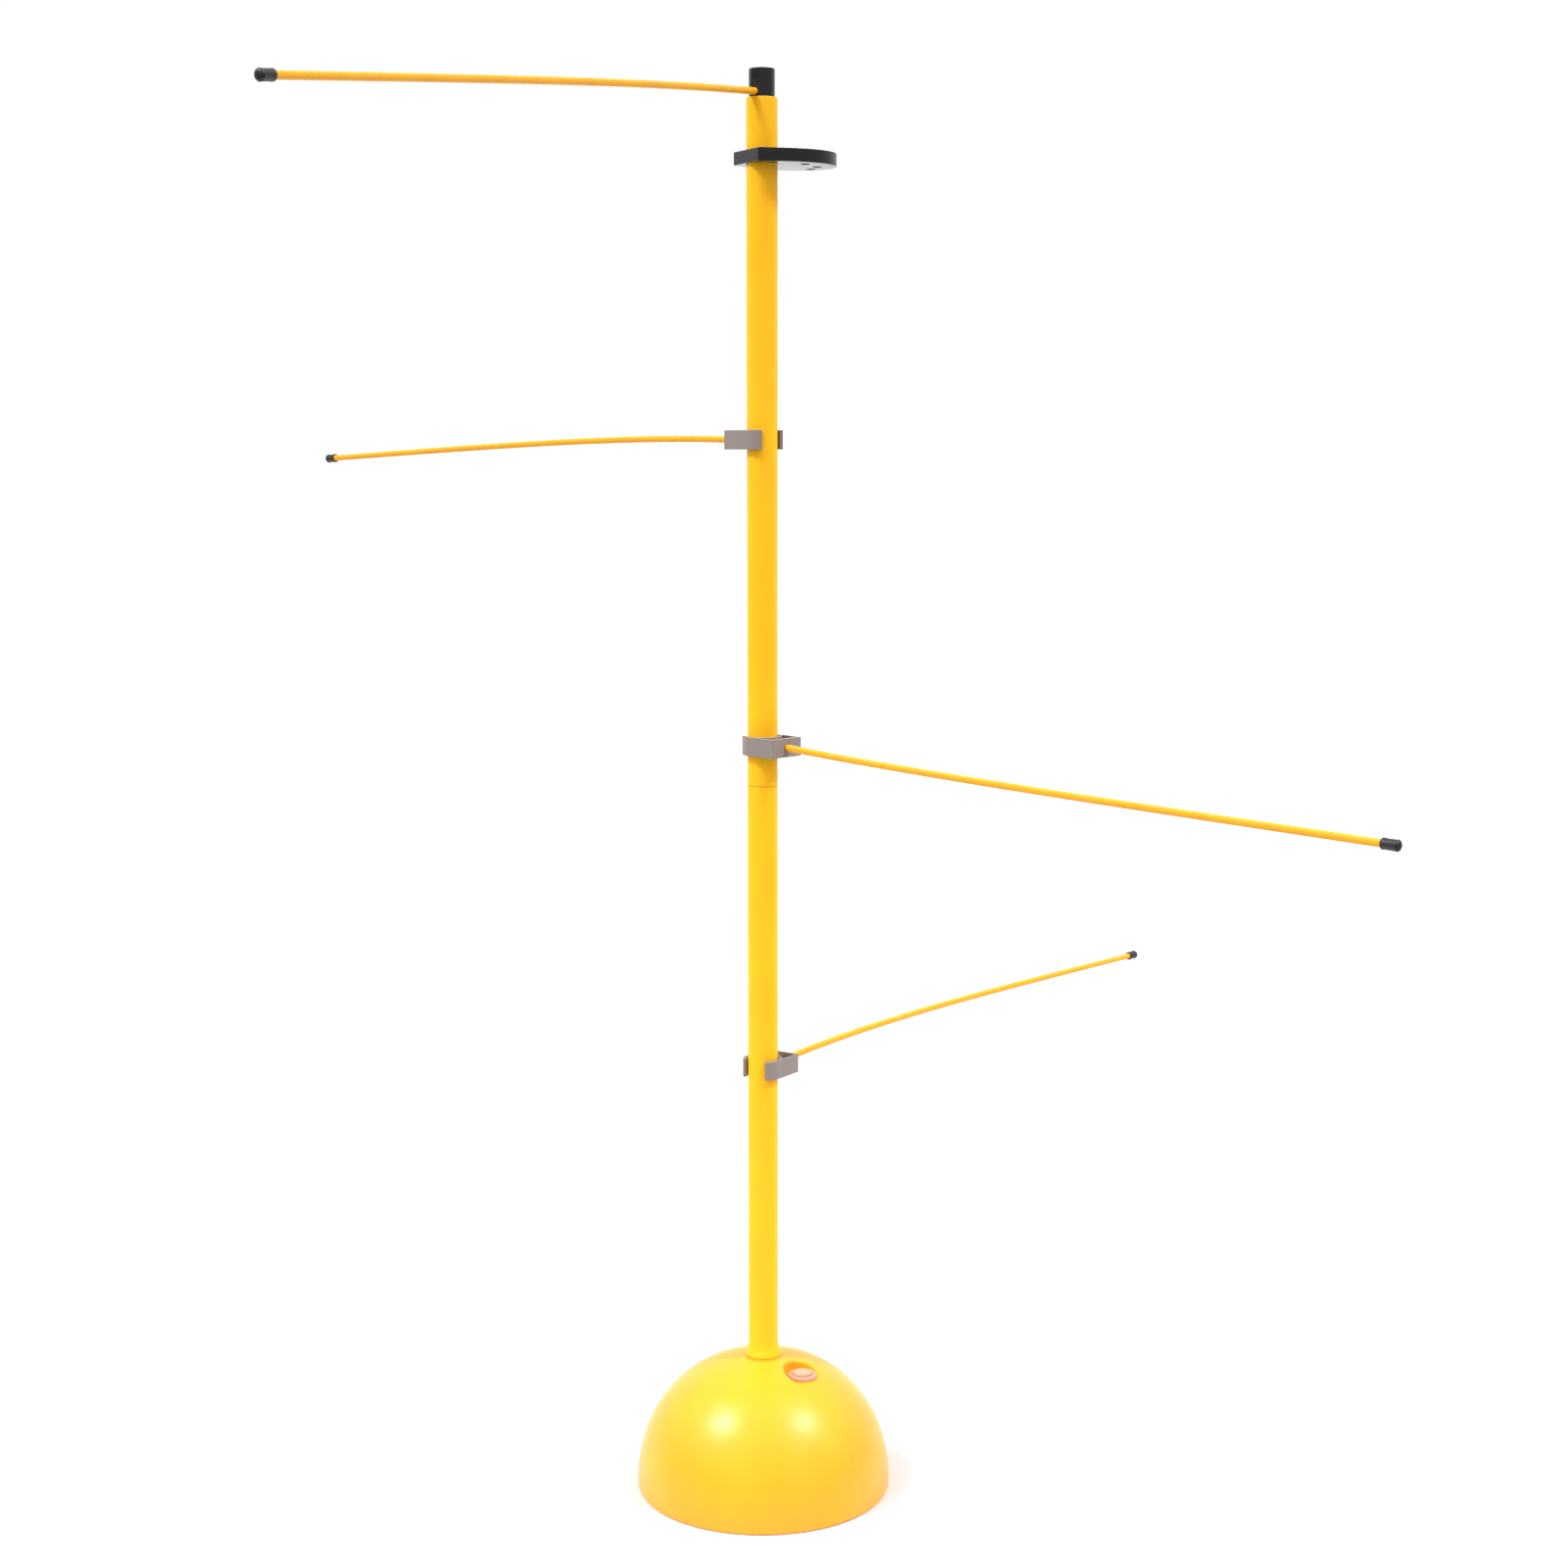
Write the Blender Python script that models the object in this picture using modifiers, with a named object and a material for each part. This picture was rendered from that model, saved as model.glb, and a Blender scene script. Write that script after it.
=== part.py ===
"""Ball-handling training stand: a filled dome base, a two-part pole and four adjustable reach arms.

Units are metres, +Z is up, and the origin is the centre of the flat underside of the base.
The frame looks along +Y from the front, with +X to the right.
Azimuths are measured about the pole from +X towards +Y.
"""

from math import acos, asin, atan2, cos, hypot, pi, radians, sin, sqrt, tan

import bmesh
import bpy
from mathutils import Matrix, Vector

MM = 0.001
GAP = 0.3 * MM

# Pole: two tubes joined end to end over an inner sleeve.
POLE_RADIUS = 16 * MM
POLE_WALL = 2.4 * MM
POLE_BORE = POLE_RADIUS - POLE_WALL
SEAM_Z = 769.4 * MM
POLE_TOP_Z = 1472.8 * MM
POLE_EDGE = 0.6 * MM
POLE_STEPS = 36

COUPLER_WALL = 2 * MM
COUPLER_HALF_LENGTH = 60 * MM

# The lower tube is swaged out to a foot where it stands on the base.
FOOT_RADIUS = 18.9 * MM
FOOT_Z = 145.2 * MM
FOOT_HEIGHT = 19 * MM
FOOT_STEPS = 4

# Base: a hollow dome with a well for the pole and a recess for the filler plug.
BASE_RADIUS = 136.9 * MM
BASE_HEIGHT = 145.6 * MM
BASE_STRAIGHT = 4.5 * MM
BASE_SIDE_POWER = 0.98
BASE_TOP_POWER = 0.917
BASE_EDGE = 2.2 * MM
BASE_WALL = 3.2 * MM
BASE_STEPS = 48
BASE_RINGS = 11
SEAT_RADIUS = 21 * MM
SEAT_Z = FOOT_Z - GAP
WELL_SIDE_GAP = 0.4 * MM
WELL_RADIUS = POLE_RADIUS + WELL_SIDE_GAP
WELL_FLOOR_Z = 12 * MM
WELL_FLOOR_GAP = 1 * MM
SAND_LEVEL = 62 * MM

# Filler plug and the recess it sits in.
FILLER_X = 42 * MM
FILLER_Y = -30 * MM
RECESS_RADIUS = 20 * MM
RECESS_FLOOR_Z = 130 * MM
RECESS_WALL = 3 * MM
FILLER_HOLE = 11.2 * MM
FILLER_HOLE_DEPTH = 12 * MM
FILLER_FLANGE = 15 * MM
FILLER_FLANGE_HEIGHT = 4.2 * MM
FILLER_KNOB = 10.2 * MM
FILLER_KNOB_HEIGHT = 1.8 * MM
FILLER_NECK = 10.6 * MM
FILLER_NECK_LENGTH = 14 * MM
FILLER_BORE = 8 * MM
FILLER_EDGE = 1 * MM
FILLER_STEPS = 28

# Top plug: a round stopper that turns in the mouth of the upper tube and carries the first arm.
TOP_PLUG_RADIUS = 13.3 * MM
TOP_PLUG_Z = 1501.8 * MM
TOP_PLUG_DEPTH = 38 * MM
TOP_PLUG_EDGE = 1 * MM
TOP_PLUG_HOLE_LENGTH = 54 * MM

# Reach arms: four equal rods with one set bow, each turned its own way in its socket.
ROD_RADIUS = 3.65 * MM
ROD_LENGTH = 755 * MM
ROD_STRAIGHT = 30 * MM
ROD_BOW = 54 * MM
ROD_POINTS = 20
ROD_HOLE = 3.98 * MM
ROD_HOLE_SIDES = 20
ROD_GAUGE_RADIUS = 20 * MM
CLIP_ROD_START = 22.4 * MM
PLUG_ROD_START = -16 * MM

# Each arm: azimuth and tilt of its root in degrees, roll of its bow, and height at the gauge radius.
ARMS = {
    "1": {"azimuth": 235.2, "tilt": -4.09, "roll": 61, "z": 1477.6 * MM, "start": PLUG_ROD_START},
    "2": {"azimuth": 131.7, "tilt": 1.37, "roll": 45, "z": 1129.4 * MM, "start": CLIP_ROD_START},
    "3": {"azimuth": -44.9, "tilt": -3.09, "roll": -120, "z": 812.9 * MM, "start": CLIP_ROD_START},
    "4": {"azimuth": 54.1, "tilt": 2.21, "roll": -51, "z": 464.7 * MM, "start": CLIP_ROD_START},
}

# Soft caps on the arm tips.
CAP_RADIUS = 5.2 * MM
CAP_BORE = 3.98 * MM
CAP_LENGTH = 17 * MM
CAP_END = 1.8 * MM
CAP_ROUND = 1.6 * MM
CAP_ROUND_RINGS = 3
CAP_MOUTH_EDGE = 0.5 * MM
CAP_STEPS = 20

# Spring clips: round jaws on the pole, straight sides and an end wall that holds the arm.
CLIP_HEIGHT = 20 * MM
CLIP_HALF_WIDTH = 21.5 * MM
CLIP_REACH = 36 * MM
CLIP_JAW_BORE = 17.5 * MM
CLIP_BACK_RADIUS = 20.5 * MM
CLIP_WALL = 3 * MM
CLIP_END_WALL = 3.8 * MM
CLIP_HOLE_LENGTH = 11 * MM
CLIP_JAW_ANGLE = 138
CLIP_ARC_POINTS = 12

# Thin grip liners between the clips and the pole.
LINER_INNER = POLE_RADIUS + GAP
LINER_OUTER = CLIP_JAW_BORE - GAP
LINER_HEIGHT = 19 * MM
LINER_ANGLE = 132
LINER_ARC_POINTS = 20

# Storage plate: a thick plate round the pole with holes that park the arms upright.
PLATE_BOTTOM_Z = 1407.4 * MM
PLATE_THICKNESS = 13.3 * MM
PLATE_CUT = 26 * MM
PLATE_AZIMUTH = 30
PLATE_HEEL = 18.9 * MM
PLATE_HEEL_HALF_WIDTH = 27 * MM
PLATE_NOSE_CENTRE = 33 * MM
PLATE_NOSE_LENGTH = 51 * MM
PLATE_NOSE_HALF_WIDTH = 39.6 * MM
PLATE_NOSE_POINTS = 24
PLATE_HOLE = 4.9 * MM
PLATE_HOLE_SIDES = 20
PLATE_HOLES = ((44 * MM, 0), (62 * MM, 24), (68 * MM, 42))

YELLOW_POLE = (1.0, 0.58, 0.03, 1)
YELLOW_BASE = (1.0, 0.66, 0.03, 1)
YELLOW_ROD = (0.9, 0.46, 0.04, 1)
BLACK = (0.02, 0.02, 0.025, 1)
TAUPE = (0.35, 0.3, 0.27, 1)
SALMON = (0.9, 0.42, 0.28, 1)
SAND = (0.55, 0.42, 0.27, 1)
GREY = (0.25, 0.25, 0.26, 1)


def clear_scene():
    """Remove every object of the starting scene."""
    for obj in list(bpy.data.objects):
        bpy.data.objects.remove(obj, do_unlink=True)


def collection(name):
    """A new collection linked to the scene."""
    made = bpy.data.collections.new(name)
    bpy.context.scene.collection.children.link(made)
    return made


def material(name, colour, roughness, metallic=0.0):
    """A Principled BSDF material."""
    made = bpy.data.materials.new(name)
    made.use_nodes = True
    shader = made.node_tree.nodes["Principled BSDF"]
    shader.inputs["Base Color"].default_value = colour
    shader.inputs["Roughness"].default_value = roughness
    shader.inputs["Metallic"].default_value = metallic
    made.diffuse_color = colour
    return made


def rotation_z(degrees):
    return Matrix.Rotation(radians(degrees), 4, "Z")


def polar(radius, degrees):
    """A point of the XY plane at this radius and azimuth."""
    return Vector((radius * cos(radians(degrees)), radius * sin(radians(degrees)), 0))


def arc(radius, start, end, points):
    """Points on an arc about the origin, from start to end degrees."""
    return [polar(radius, start + (end - start) * i / (points - 1)) for i in range(points)]


def add_mesh_object(name, mesh, group, look=None):
    obj = bpy.data.objects.new(name, mesh)
    group.objects.link(obj)
    if look:
        mesh.materials.append(look)
    return obj


def smooth(obj, angle=35):
    obj.data.shade_smooth()
    obj.data.set_sharp_from_angle(angle=radians(angle))


def turned(name, profile, steps, group, look=None):
    """A solid of revolution about Z. The profile is (radius, z) and runs down its outer side."""
    mesh = bpy.data.meshes.new(name)
    shape = bmesh.new()
    points = [shape.verts.new((radius, 0, z)) for radius, z in profile]
    for first, second in zip(points, points[1:]):
        shape.edges.new((first, second))
    if profile[0][0] > 0:
        shape.edges.new((points[-1], points[0]))
    shape.to_mesh(mesh)
    shape.free()
    obj = add_mesh_object(name, mesh, group, look)
    screw = obj.modifiers.new("Turn", "SCREW")
    screw.axis = "Z"
    screw.steps = steps
    screw.render_steps = steps
    screw.use_merge_vertices = True
    screw.merge_threshold = 0.01 * MM
    screw.use_smooth_shade = True
    return obj


def cylinder(name, radius, depth, sides, group):
    """A cylinder along Z, centred on the origin."""
    mesh = bpy.data.meshes.new(name)
    shape = bmesh.new()
    bmesh.ops.create_cone(
        shape, cap_ends=True, segments=sides, radius1=radius, radius2=radius, depth=depth
    )
    shape.to_mesh(mesh)
    shape.free()
    return add_mesh_object(name, mesh, group)


def flat_solid(name, outlines, height, group, look=None):
    """A flat outline, with any inner outlines as holes, thickened upwards from z = 0."""
    data = bpy.data.curves.new(name, "CURVE")
    data.dimensions = "2D"
    data.fill_mode = "BOTH"
    data.extrude = height / 2
    for outline in outlines:
        spline = data.splines.new("POLY")
        spline.points.add(len(outline) - 1)
        for point, place in zip(spline.points, outline):
            point.co = (place[0], place[1], 0, 1)
        spline.use_cyclic_u = True
    return meshed(name, data, Matrix.Translation((0, 0, height / 2)), group, look)


def meshed(name, curve, place, group, look):
    """The curve's solid as a mesh object with its caps welded on."""
    guide = bpy.data.objects.new(name + "_curve", curve)
    bpy.context.scene.collection.objects.link(guide)
    graph = bpy.context.evaluated_depsgraph_get()
    mesh = bpy.data.meshes.new_from_object(guide.evaluated_get(graph))
    bpy.data.objects.remove(guide, do_unlink=True)
    bpy.data.curves.remove(curve)
    mesh.name = name
    mesh.transform(place)
    shape = bmesh.new()
    shape.from_mesh(mesh)
    bmesh.ops.remove_doubles(shape, verts=shape.verts, dist=0.01 * MM)
    bmesh.ops.recalc_face_normals(shape, faces=shape.faces)
    shape.to_mesh(mesh)
    shape.free()
    mesh.materials.clear()
    return add_mesh_object(name, mesh, group, look)


def boolean(obj, tool, operation="DIFFERENCE"):
    modifier = obj.modifiers.new(tool.name, "BOOLEAN")
    modifier.operation = operation
    modifier.object = tool


def hide(tool):
    """Keep a cutter out of the model."""
    tool.hide_render = True
    tool.display_type = "WIRE"
    return tool


def dome_profile(first_radius, grow=0.0):
    """(radius, z) down the dome, evenly spaced in angle from first_radius to its widest."""
    start = asin((first_radius / (BASE_RADIUS + grow)) ** (1 / BASE_SIDE_POWER))
    profile = []
    for i in range(BASE_RINGS + 1):
        angle = start + (pi / 2 - start) * i / BASE_RINGS
        radius = (BASE_RADIUS + grow) * sin(angle) ** BASE_SIDE_POWER
        rise = max(0, cos(angle)) ** BASE_TOP_POWER
        profile.append((radius, BASE_STRAIGHT + (BASE_HEIGHT + grow - BASE_STRAIGHT) * rise))
    return profile


def make_base_shell(group, cutters, look):
    """The hollow dome with its well for the pole and its recess for the filler plug."""
    profile = [(0, WELL_FLOOR_Z), (WELL_RADIUS, WELL_FLOOR_Z), (WELL_RADIUS, SEAT_Z)]
    profile += dome_profile(SEAT_RADIUS)
    profile += [(BASE_RADIUS, BASE_EDGE), (BASE_RADIUS - BASE_EDGE, 0), (0, 0)]
    shell = turned("base_shell", profile, BASE_STEPS, group, look)

    inner = dome_profile(SEAT_RADIUS, -BASE_WALL)
    inner_wall = WELL_RADIUS + BASE_WALL
    hollow = [(inner_wall, inner[0][1]), *inner]
    hollow += [(BASE_RADIUS - BASE_WALL, BASE_WALL), (inner_wall, BASE_WALL)]
    hollow = hide(turned("hollow_cutter", hollow, BASE_STEPS, cutters))

    boss_height = BASE_HEIGHT - RECESS_FLOOR_Z + RECESS_WALL
    boss = hide(cylinder("recess_boss", RECESS_RADIUS + RECESS_WALL, boss_height, FILLER_STEPS, cutters))
    boss.location = (FILLER_X, FILLER_Y, RECESS_FLOOR_Z - RECESS_WALL + boss_height / 2)
    boolean(hollow, boss)
    boolean(shell, hollow)

    recess = hide(cylinder("recess_cutter", RECESS_RADIUS, boss_height, FILLER_STEPS, cutters))
    recess.location = (FILLER_X, FILLER_Y, RECESS_FLOOR_Z + boss_height / 2)
    boolean(shell, recess)
    hole = cylinder("filler_hole_cutter", FILLER_HOLE, FILLER_HOLE_DEPTH, FILLER_STEPS, cutters)
    hole.location = (FILLER_X, FILLER_Y, RECESS_FLOOR_Z)
    boolean(shell, hide(hole))


def make_sand(group, look):
    """The ballast that fills the hollow up to the sand level."""
    side = BASE_WALL + GAP
    outline = [(r, z) for r, z in dome_profile(SEAT_RADIUS, -side) if z < SAND_LEVEL]
    well_side = WELL_RADIUS + side
    level_radius = (BASE_RADIUS - side) * sin(level_angle(SAND_LEVEL, side)) ** BASE_SIDE_POWER
    profile = [(well_side, SAND_LEVEL), (level_radius, SAND_LEVEL), *outline]
    profile += [(BASE_RADIUS - side, side), (well_side, side)]
    turned("sand_ballast", profile, BASE_STEPS, group, look)


def level_angle(height, side):
    """Profile angle at which the dome set in by side reaches this height."""
    rise = (height - BASE_STRAIGHT) / (BASE_HEIGHT - side - BASE_STRAIGHT)
    level = rise ** (1 / BASE_TOP_POWER)
    return atan2(sqrt(1 - level * level), level)


def make_filler_plug(group, look):
    """A soft bung with a flange, a raised grip and a hollow neck."""
    bottom = RECESS_FLOOR_Z + GAP
    flange = bottom + FILLER_FLANGE_HEIGHT
    top = flange + FILLER_KNOB_HEIGHT
    neck_end = bottom - FILLER_NECK_LENGTH
    edge = FILLER_EDGE
    profile = [
        (0, top),
        (FILLER_KNOB - edge, top),
        (FILLER_KNOB, top - edge / 2),
        (FILLER_KNOB, flange),
        (FILLER_FLANGE - edge, flange),
        (FILLER_FLANGE, flange - edge),
        (FILLER_FLANGE, bottom),
        (FILLER_NECK, bottom),
        (FILLER_NECK, neck_end + edge),
        (FILLER_NECK - edge, neck_end),
        (FILLER_BORE, neck_end),
        (FILLER_BORE, bottom),
        (0, bottom),
    ]
    plug = turned("filler_plug", profile, FILLER_STEPS, group, look)
    plug.location = (FILLER_X, FILLER_Y, 0)


def foot_radius(fall):
    """Radius of the swaged foot, from the tube (0) to its lower rim (1)."""
    return POLE_RADIUS + (FOOT_RADIUS - POLE_RADIUS) * fall * fall


def make_lower_pole(group, look):
    """The lower tube, whose swaged foot stands on the dome and whose end reaches into the well."""
    profile = [(POLE_BORE, SEAM_Z), (POLE_RADIUS, SEAM_Z)]
    for i in range(FOOT_STEPS + 1):
        fall = i / FOOT_STEPS
        profile.append((foot_radius(fall), FOOT_Z + FOOT_HEIGHT * (1 - fall)))
    end = WELL_FLOOR_Z + WELL_FLOOR_GAP
    profile += [(POLE_RADIUS, FOOT_Z), (POLE_RADIUS, end), (POLE_BORE, end)]
    turned("lower_pole", profile, POLE_STEPS, group, look)


def make_upper_pole(group, look):
    """The upper tube, open at the top for the plug."""
    bottom = SEAM_Z + GAP
    profile = [
        (POLE_BORE, POLE_TOP_Z),
        (POLE_RADIUS - POLE_EDGE, POLE_TOP_Z),
        (POLE_RADIUS, POLE_TOP_Z - POLE_EDGE),
        (POLE_RADIUS, bottom),
        (POLE_BORE, bottom),
    ]
    turned("upper_pole", profile, POLE_STEPS, group, look)


def make_coupler(group, look):
    """The inner sleeve that joins the two tubes."""
    outer = POLE_BORE - GAP
    inner = outer - COUPLER_WALL
    top = SEAM_Z + COUPLER_HALF_LENGTH
    bottom = SEAM_Z - COUPLER_HALF_LENGTH
    turned(
        "pole_coupler",
        [(inner, top), (outer, top), (outer, bottom), (inner, bottom)],
        POLE_STEPS,
        group,
        look,
    )


def make_top_plug(group, cutters, look):
    """The stopper in the mouth of the pole, with the cross hole for the first arm."""
    edge = TOP_PLUG_EDGE
    bottom = POLE_TOP_Z - TOP_PLUG_DEPTH
    profile = [
        (0, TOP_PLUG_Z),
        (TOP_PLUG_RADIUS - edge, TOP_PLUG_Z),
        (TOP_PLUG_RADIUS, TOP_PLUG_Z - edge),
        (TOP_PLUG_RADIUS, bottom + edge),
        (TOP_PLUG_RADIUS - edge, bottom),
        (0, bottom),
    ]
    plug = turned("top_plug", profile, POLE_STEPS, group, look)
    boolean(plug, rod_hole_cutter("1", TOP_PLUG_HOLE_LENGTH, 0, cutters))


def arm_frame(key):
    """Matrix of an arm: origin on the pole's axis, X along the root, bow towards -Z before its roll."""
    arm = ARMS[key]
    axis_z = arm["z"] - ROD_GAUGE_RADIUS * tan(radians(arm["tilt"]))
    tilt = Matrix.Rotation(-radians(arm["tilt"]), 4, "Y")
    roll = Matrix.Rotation(radians(arm["roll"]), 4, "X")
    return Matrix.Translation((0, 0, axis_z)) @ rotation_z(arm["azimuth"]) @ tilt @ roll


def start_along_axis(key):
    """Distance along the root axis from the pole's centre line to the rod's inner end."""
    return ARMS[key]["start"] / cos(radians(ARMS[key]["tilt"]))


def bow_at(distance):
    """How far the rod has bowed this far from its inner end, as a cantilever under its own weight."""
    share = max(0, distance - ROD_STRAIGHT) / (ROD_LENGTH - ROD_STRAIGHT)
    return ROD_BOW * (share**4 - 4 * share**3 + 6 * share**2) / 3


def rod_hole_cutter(key, length, middle, cutters):
    """A cutter along an arm's root axis, centred this far out from the pole's centre line."""
    cutter = hide(cylinder(f"rod_hole_cutter_{key}", ROD_HOLE, length, ROD_HOLE_SIDES, cutters))
    lay_along_x = Matrix.Translation((middle, 0, 0)) @ Matrix.Rotation(pi / 2, 4, "Y")
    cutter.matrix_world = arm_frame(key) @ lay_along_x
    return cutter


def make_rod(key, group, look):
    """One arm's rod, with its origin on its own root axis."""
    data = bpy.data.curves.new("rod_" + key, "CURVE")
    data.dimensions = "3D"
    data.bevel_depth = ROD_RADIUS
    data.bevel_resolution = 4
    data.use_fill_caps = True
    spline = data.splines.new("POLY")
    spline.points.add(ROD_POINTS - 1)
    for i, point in enumerate(spline.points):
        distance = ROD_LENGTH * i / (ROD_POINTS - 1)
        point.co = (distance, 0, -bow_at(distance), 1)
    rod = bpy.data.objects.new("rod_" + key, data)
    group.objects.link(rod)
    data.materials.append(look)
    rod.matrix_world = arm_frame(key) @ Matrix.Translation((start_along_axis(key), 0, 0))
    return rod


def make_rod_cap(key, rod, group, look):
    """A soft cap that is pushed over the tip of an arm and moves with its rod."""
    open_end = CAP_END - CAP_LENGTH
    profile = [(0, CAP_END)]
    for i in range(CAP_ROUND_RINGS + 1):
        angle = pi / 2 * i / CAP_ROUND_RINGS
        round_radius = CAP_RADIUS - CAP_ROUND + CAP_ROUND * sin(angle)
        profile.append((round_radius, CAP_END - CAP_ROUND + CAP_ROUND * cos(angle)))
    profile += [
        (CAP_RADIUS, open_end + CAP_MOUTH_EDGE),
        (CAP_RADIUS - CAP_MOUTH_EDGE, open_end),
        (CAP_BORE, open_end),
        (CAP_BORE, GAP),
        (0, GAP),
    ]
    cap = turned("rod_cap_" + key, profile, CAP_STEPS, group, look)
    span = ROD_LENGTH / (ROD_POINTS - 1)
    slope = atan2(bow_at(ROD_LENGTH) - bow_at(ROD_LENGTH - span), span)
    tip = Matrix.Translation((ROD_LENGTH, 0, -bow_at(ROD_LENGTH)))
    cap.parent = rod
    cap.matrix_local = tip @ Matrix.Rotation(pi / 2 + slope, 4, "Y")


def make_clip(key, group, cutters, look):
    """A spring clip: round jaws, straight sides, an end wall and a pocket behind the jaws."""
    outer = arc(CLIP_HALF_WIDTH, -CLIP_JAW_ANGLE, -90, CLIP_ARC_POINTS)
    outer += [Vector((CLIP_REACH, -CLIP_HALF_WIDTH, 0)), Vector((CLIP_REACH, CLIP_HALF_WIDTH, 0))]
    outer += arc(CLIP_HALF_WIDTH, 90, CLIP_JAW_ANGLE, CLIP_ARC_POINTS)
    outer += arc(CLIP_JAW_BORE, CLIP_JAW_ANGLE, -CLIP_JAW_ANGLE, 2 * CLIP_ARC_POINTS)

    side = CLIP_HALF_WIDTH - CLIP_WALL
    inner_end = CLIP_REACH - CLIP_END_WALL
    spread = 90 - atan2(sqrt(CLIP_BACK_RADIUS**2 - side**2), side) * 180 / pi
    pocket = arc(CLIP_BACK_RADIUS, -spread, spread, CLIP_ARC_POINTS)
    pocket += [Vector((inner_end, side, 0)), Vector((inner_end, -side, 0))]

    clip = flat_solid("arm_clip_" + key, [outer, pocket], CLIP_HEIGHT, group, look)
    wall_middle = CLIP_REACH - CLIP_END_WALL / 2
    centre_z = ARMS[key]["z"] + (wall_middle - ROD_GAUGE_RADIUS) * tan(radians(ARMS[key]["tilt"]))
    clip.matrix_world = Matrix.Translation((0, 0, centre_z - CLIP_HEIGHT / 2)) @ rotation_z(
        ARMS[key]["azimuth"]
    )
    boolean(clip, rod_hole_cutter(key, CLIP_HOLE_LENGTH, wall_middle, cutters))
    return clip


def make_liner(key, clip, group, look):
    """The grip liner inside a clip's jaws, which slides on the pole."""
    outline = arc(LINER_OUTER, -LINER_ANGLE, LINER_ANGLE, LINER_ARC_POINTS)
    outline += arc(LINER_INNER, LINER_ANGLE, -LINER_ANGLE, LINER_ARC_POINTS)
    liner = flat_solid("clip_liner_" + key, [outline], LINER_HEIGHT, group, look)
    lift = Matrix.Translation((0, 0, (CLIP_HEIGHT - LINER_HEIGHT) / 2))
    liner.matrix_world = clip.matrix_world @ lift


def make_storage_plate(group, cutters, look):
    """A thick plate round the pole, flat at its heel and oval at its nose, with three arm holes."""
    # The sides leave the heel's corners along tangents to the oval nose, found where it is a circle.
    narrow = PLATE_NOSE_HALF_WIDTH / PLATE_NOSE_LENGTH
    heel = Vector((-PLATE_HEEL, -PLATE_HEEL_HALF_WIDTH, 0))
    away = Vector((heel.x - PLATE_NOSE_CENTRE, heel.y / narrow))
    past_heel = acos(PLATE_NOSE_LENGTH / hypot(away.x, away.y))
    tangent = (atan2(away.y, away.x) + past_heel) * 180 / pi
    outline = [heel]
    for point in arc(PLATE_NOSE_LENGTH, tangent, -tangent, PLATE_NOSE_POINTS):
        outline.append(Vector((PLATE_NOSE_CENTRE + point.x, point.y * narrow, 0)))
    outline.append(Vector((heel.x, -heel.y, 0)))
    plate = flat_solid("storage_plate", [outline], PLATE_THICKNESS, group, look)
    plate.matrix_world = Matrix.Translation((0, 0, PLATE_BOTTOM_Z)) @ rotation_z(PLATE_AZIMUTH)

    middle = PLATE_BOTTOM_Z + PLATE_THICKNESS / 2
    bore = cylinder("plate_bore_cutter", POLE_RADIUS + GAP, PLATE_CUT, POLE_STEPS, cutters)
    bore.location = (0, 0, middle)
    boolean(plate, hide(bore))
    for i, (radius, azimuth) in enumerate(PLATE_HOLES, 1):
        hole = cylinder(f"plate_hole_cutter_{i}", PLATE_HOLE, PLATE_CUT, PLATE_HOLE_SIDES, cutters)
        hole.location = polar(radius, azimuth) + Vector((0, 0, middle))
        boolean(plate, hide(hole))


def main():
    clear_scene()
    group = collection("ball_handling_stand")
    cutters = collection("cutters")
    pole_yellow = material("pole_yellow", YELLOW_POLE, 0.35)
    base_yellow = material("base_yellow", YELLOW_BASE, 0.38)
    rod_yellow = material("rod_yellow", YELLOW_ROD, 0.4)
    black_plastic = material("black_plastic", BLACK, 0.5)
    cap_rubber = material("cap_rubber", BLACK, 0.4)
    clip_taupe = material("clip_taupe", TAUPE, 0.5)
    bung_salmon = material("bung_salmon", SALMON, 0.45)
    sand_tan = material("sand_tan", SAND, 0.9)
    liner_grey = material("liner_grey", GREY, 0.7)

    make_base_shell(group, cutters, base_yellow)
    make_sand(group, sand_tan)
    make_filler_plug(group, bung_salmon)
    make_lower_pole(group, pole_yellow)
    make_coupler(group, liner_grey)
    make_upper_pole(group, pole_yellow)
    make_top_plug(group, cutters, black_plastic)
    make_storage_plate(group, cutters, black_plastic)
    for key in ARMS:
        rod = make_rod(key, group, rod_yellow)
        make_rod_cap(key, rod, group, cap_rubber)
        if ARMS[key]["start"] == CLIP_ROD_START:
            clip = make_clip(key, group, cutters, clip_taupe)
            make_liner(key, clip, group, liner_grey)
    for obj in group.objects:
        if obj.type == "MESH" and not obj.modifiers:
            smooth(obj)


main()
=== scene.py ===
"""The finished look of a ball-handling training stand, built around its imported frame.

Lengths are metres. The frame stands on z = 0 with its pole on the Z axis, and azimuths run
from +X towards +Y.
"""

from __future__ import annotations

import logging
import math
from collections.abc import Callable, Iterable, Sequence
from dataclasses import dataclass, field
from enum import Enum

import bmesh
import bpy
from mathutils import Matrix, Vector
from mathutils.geometry import delaunay_2d_cdt, tessellate_polygon

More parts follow.
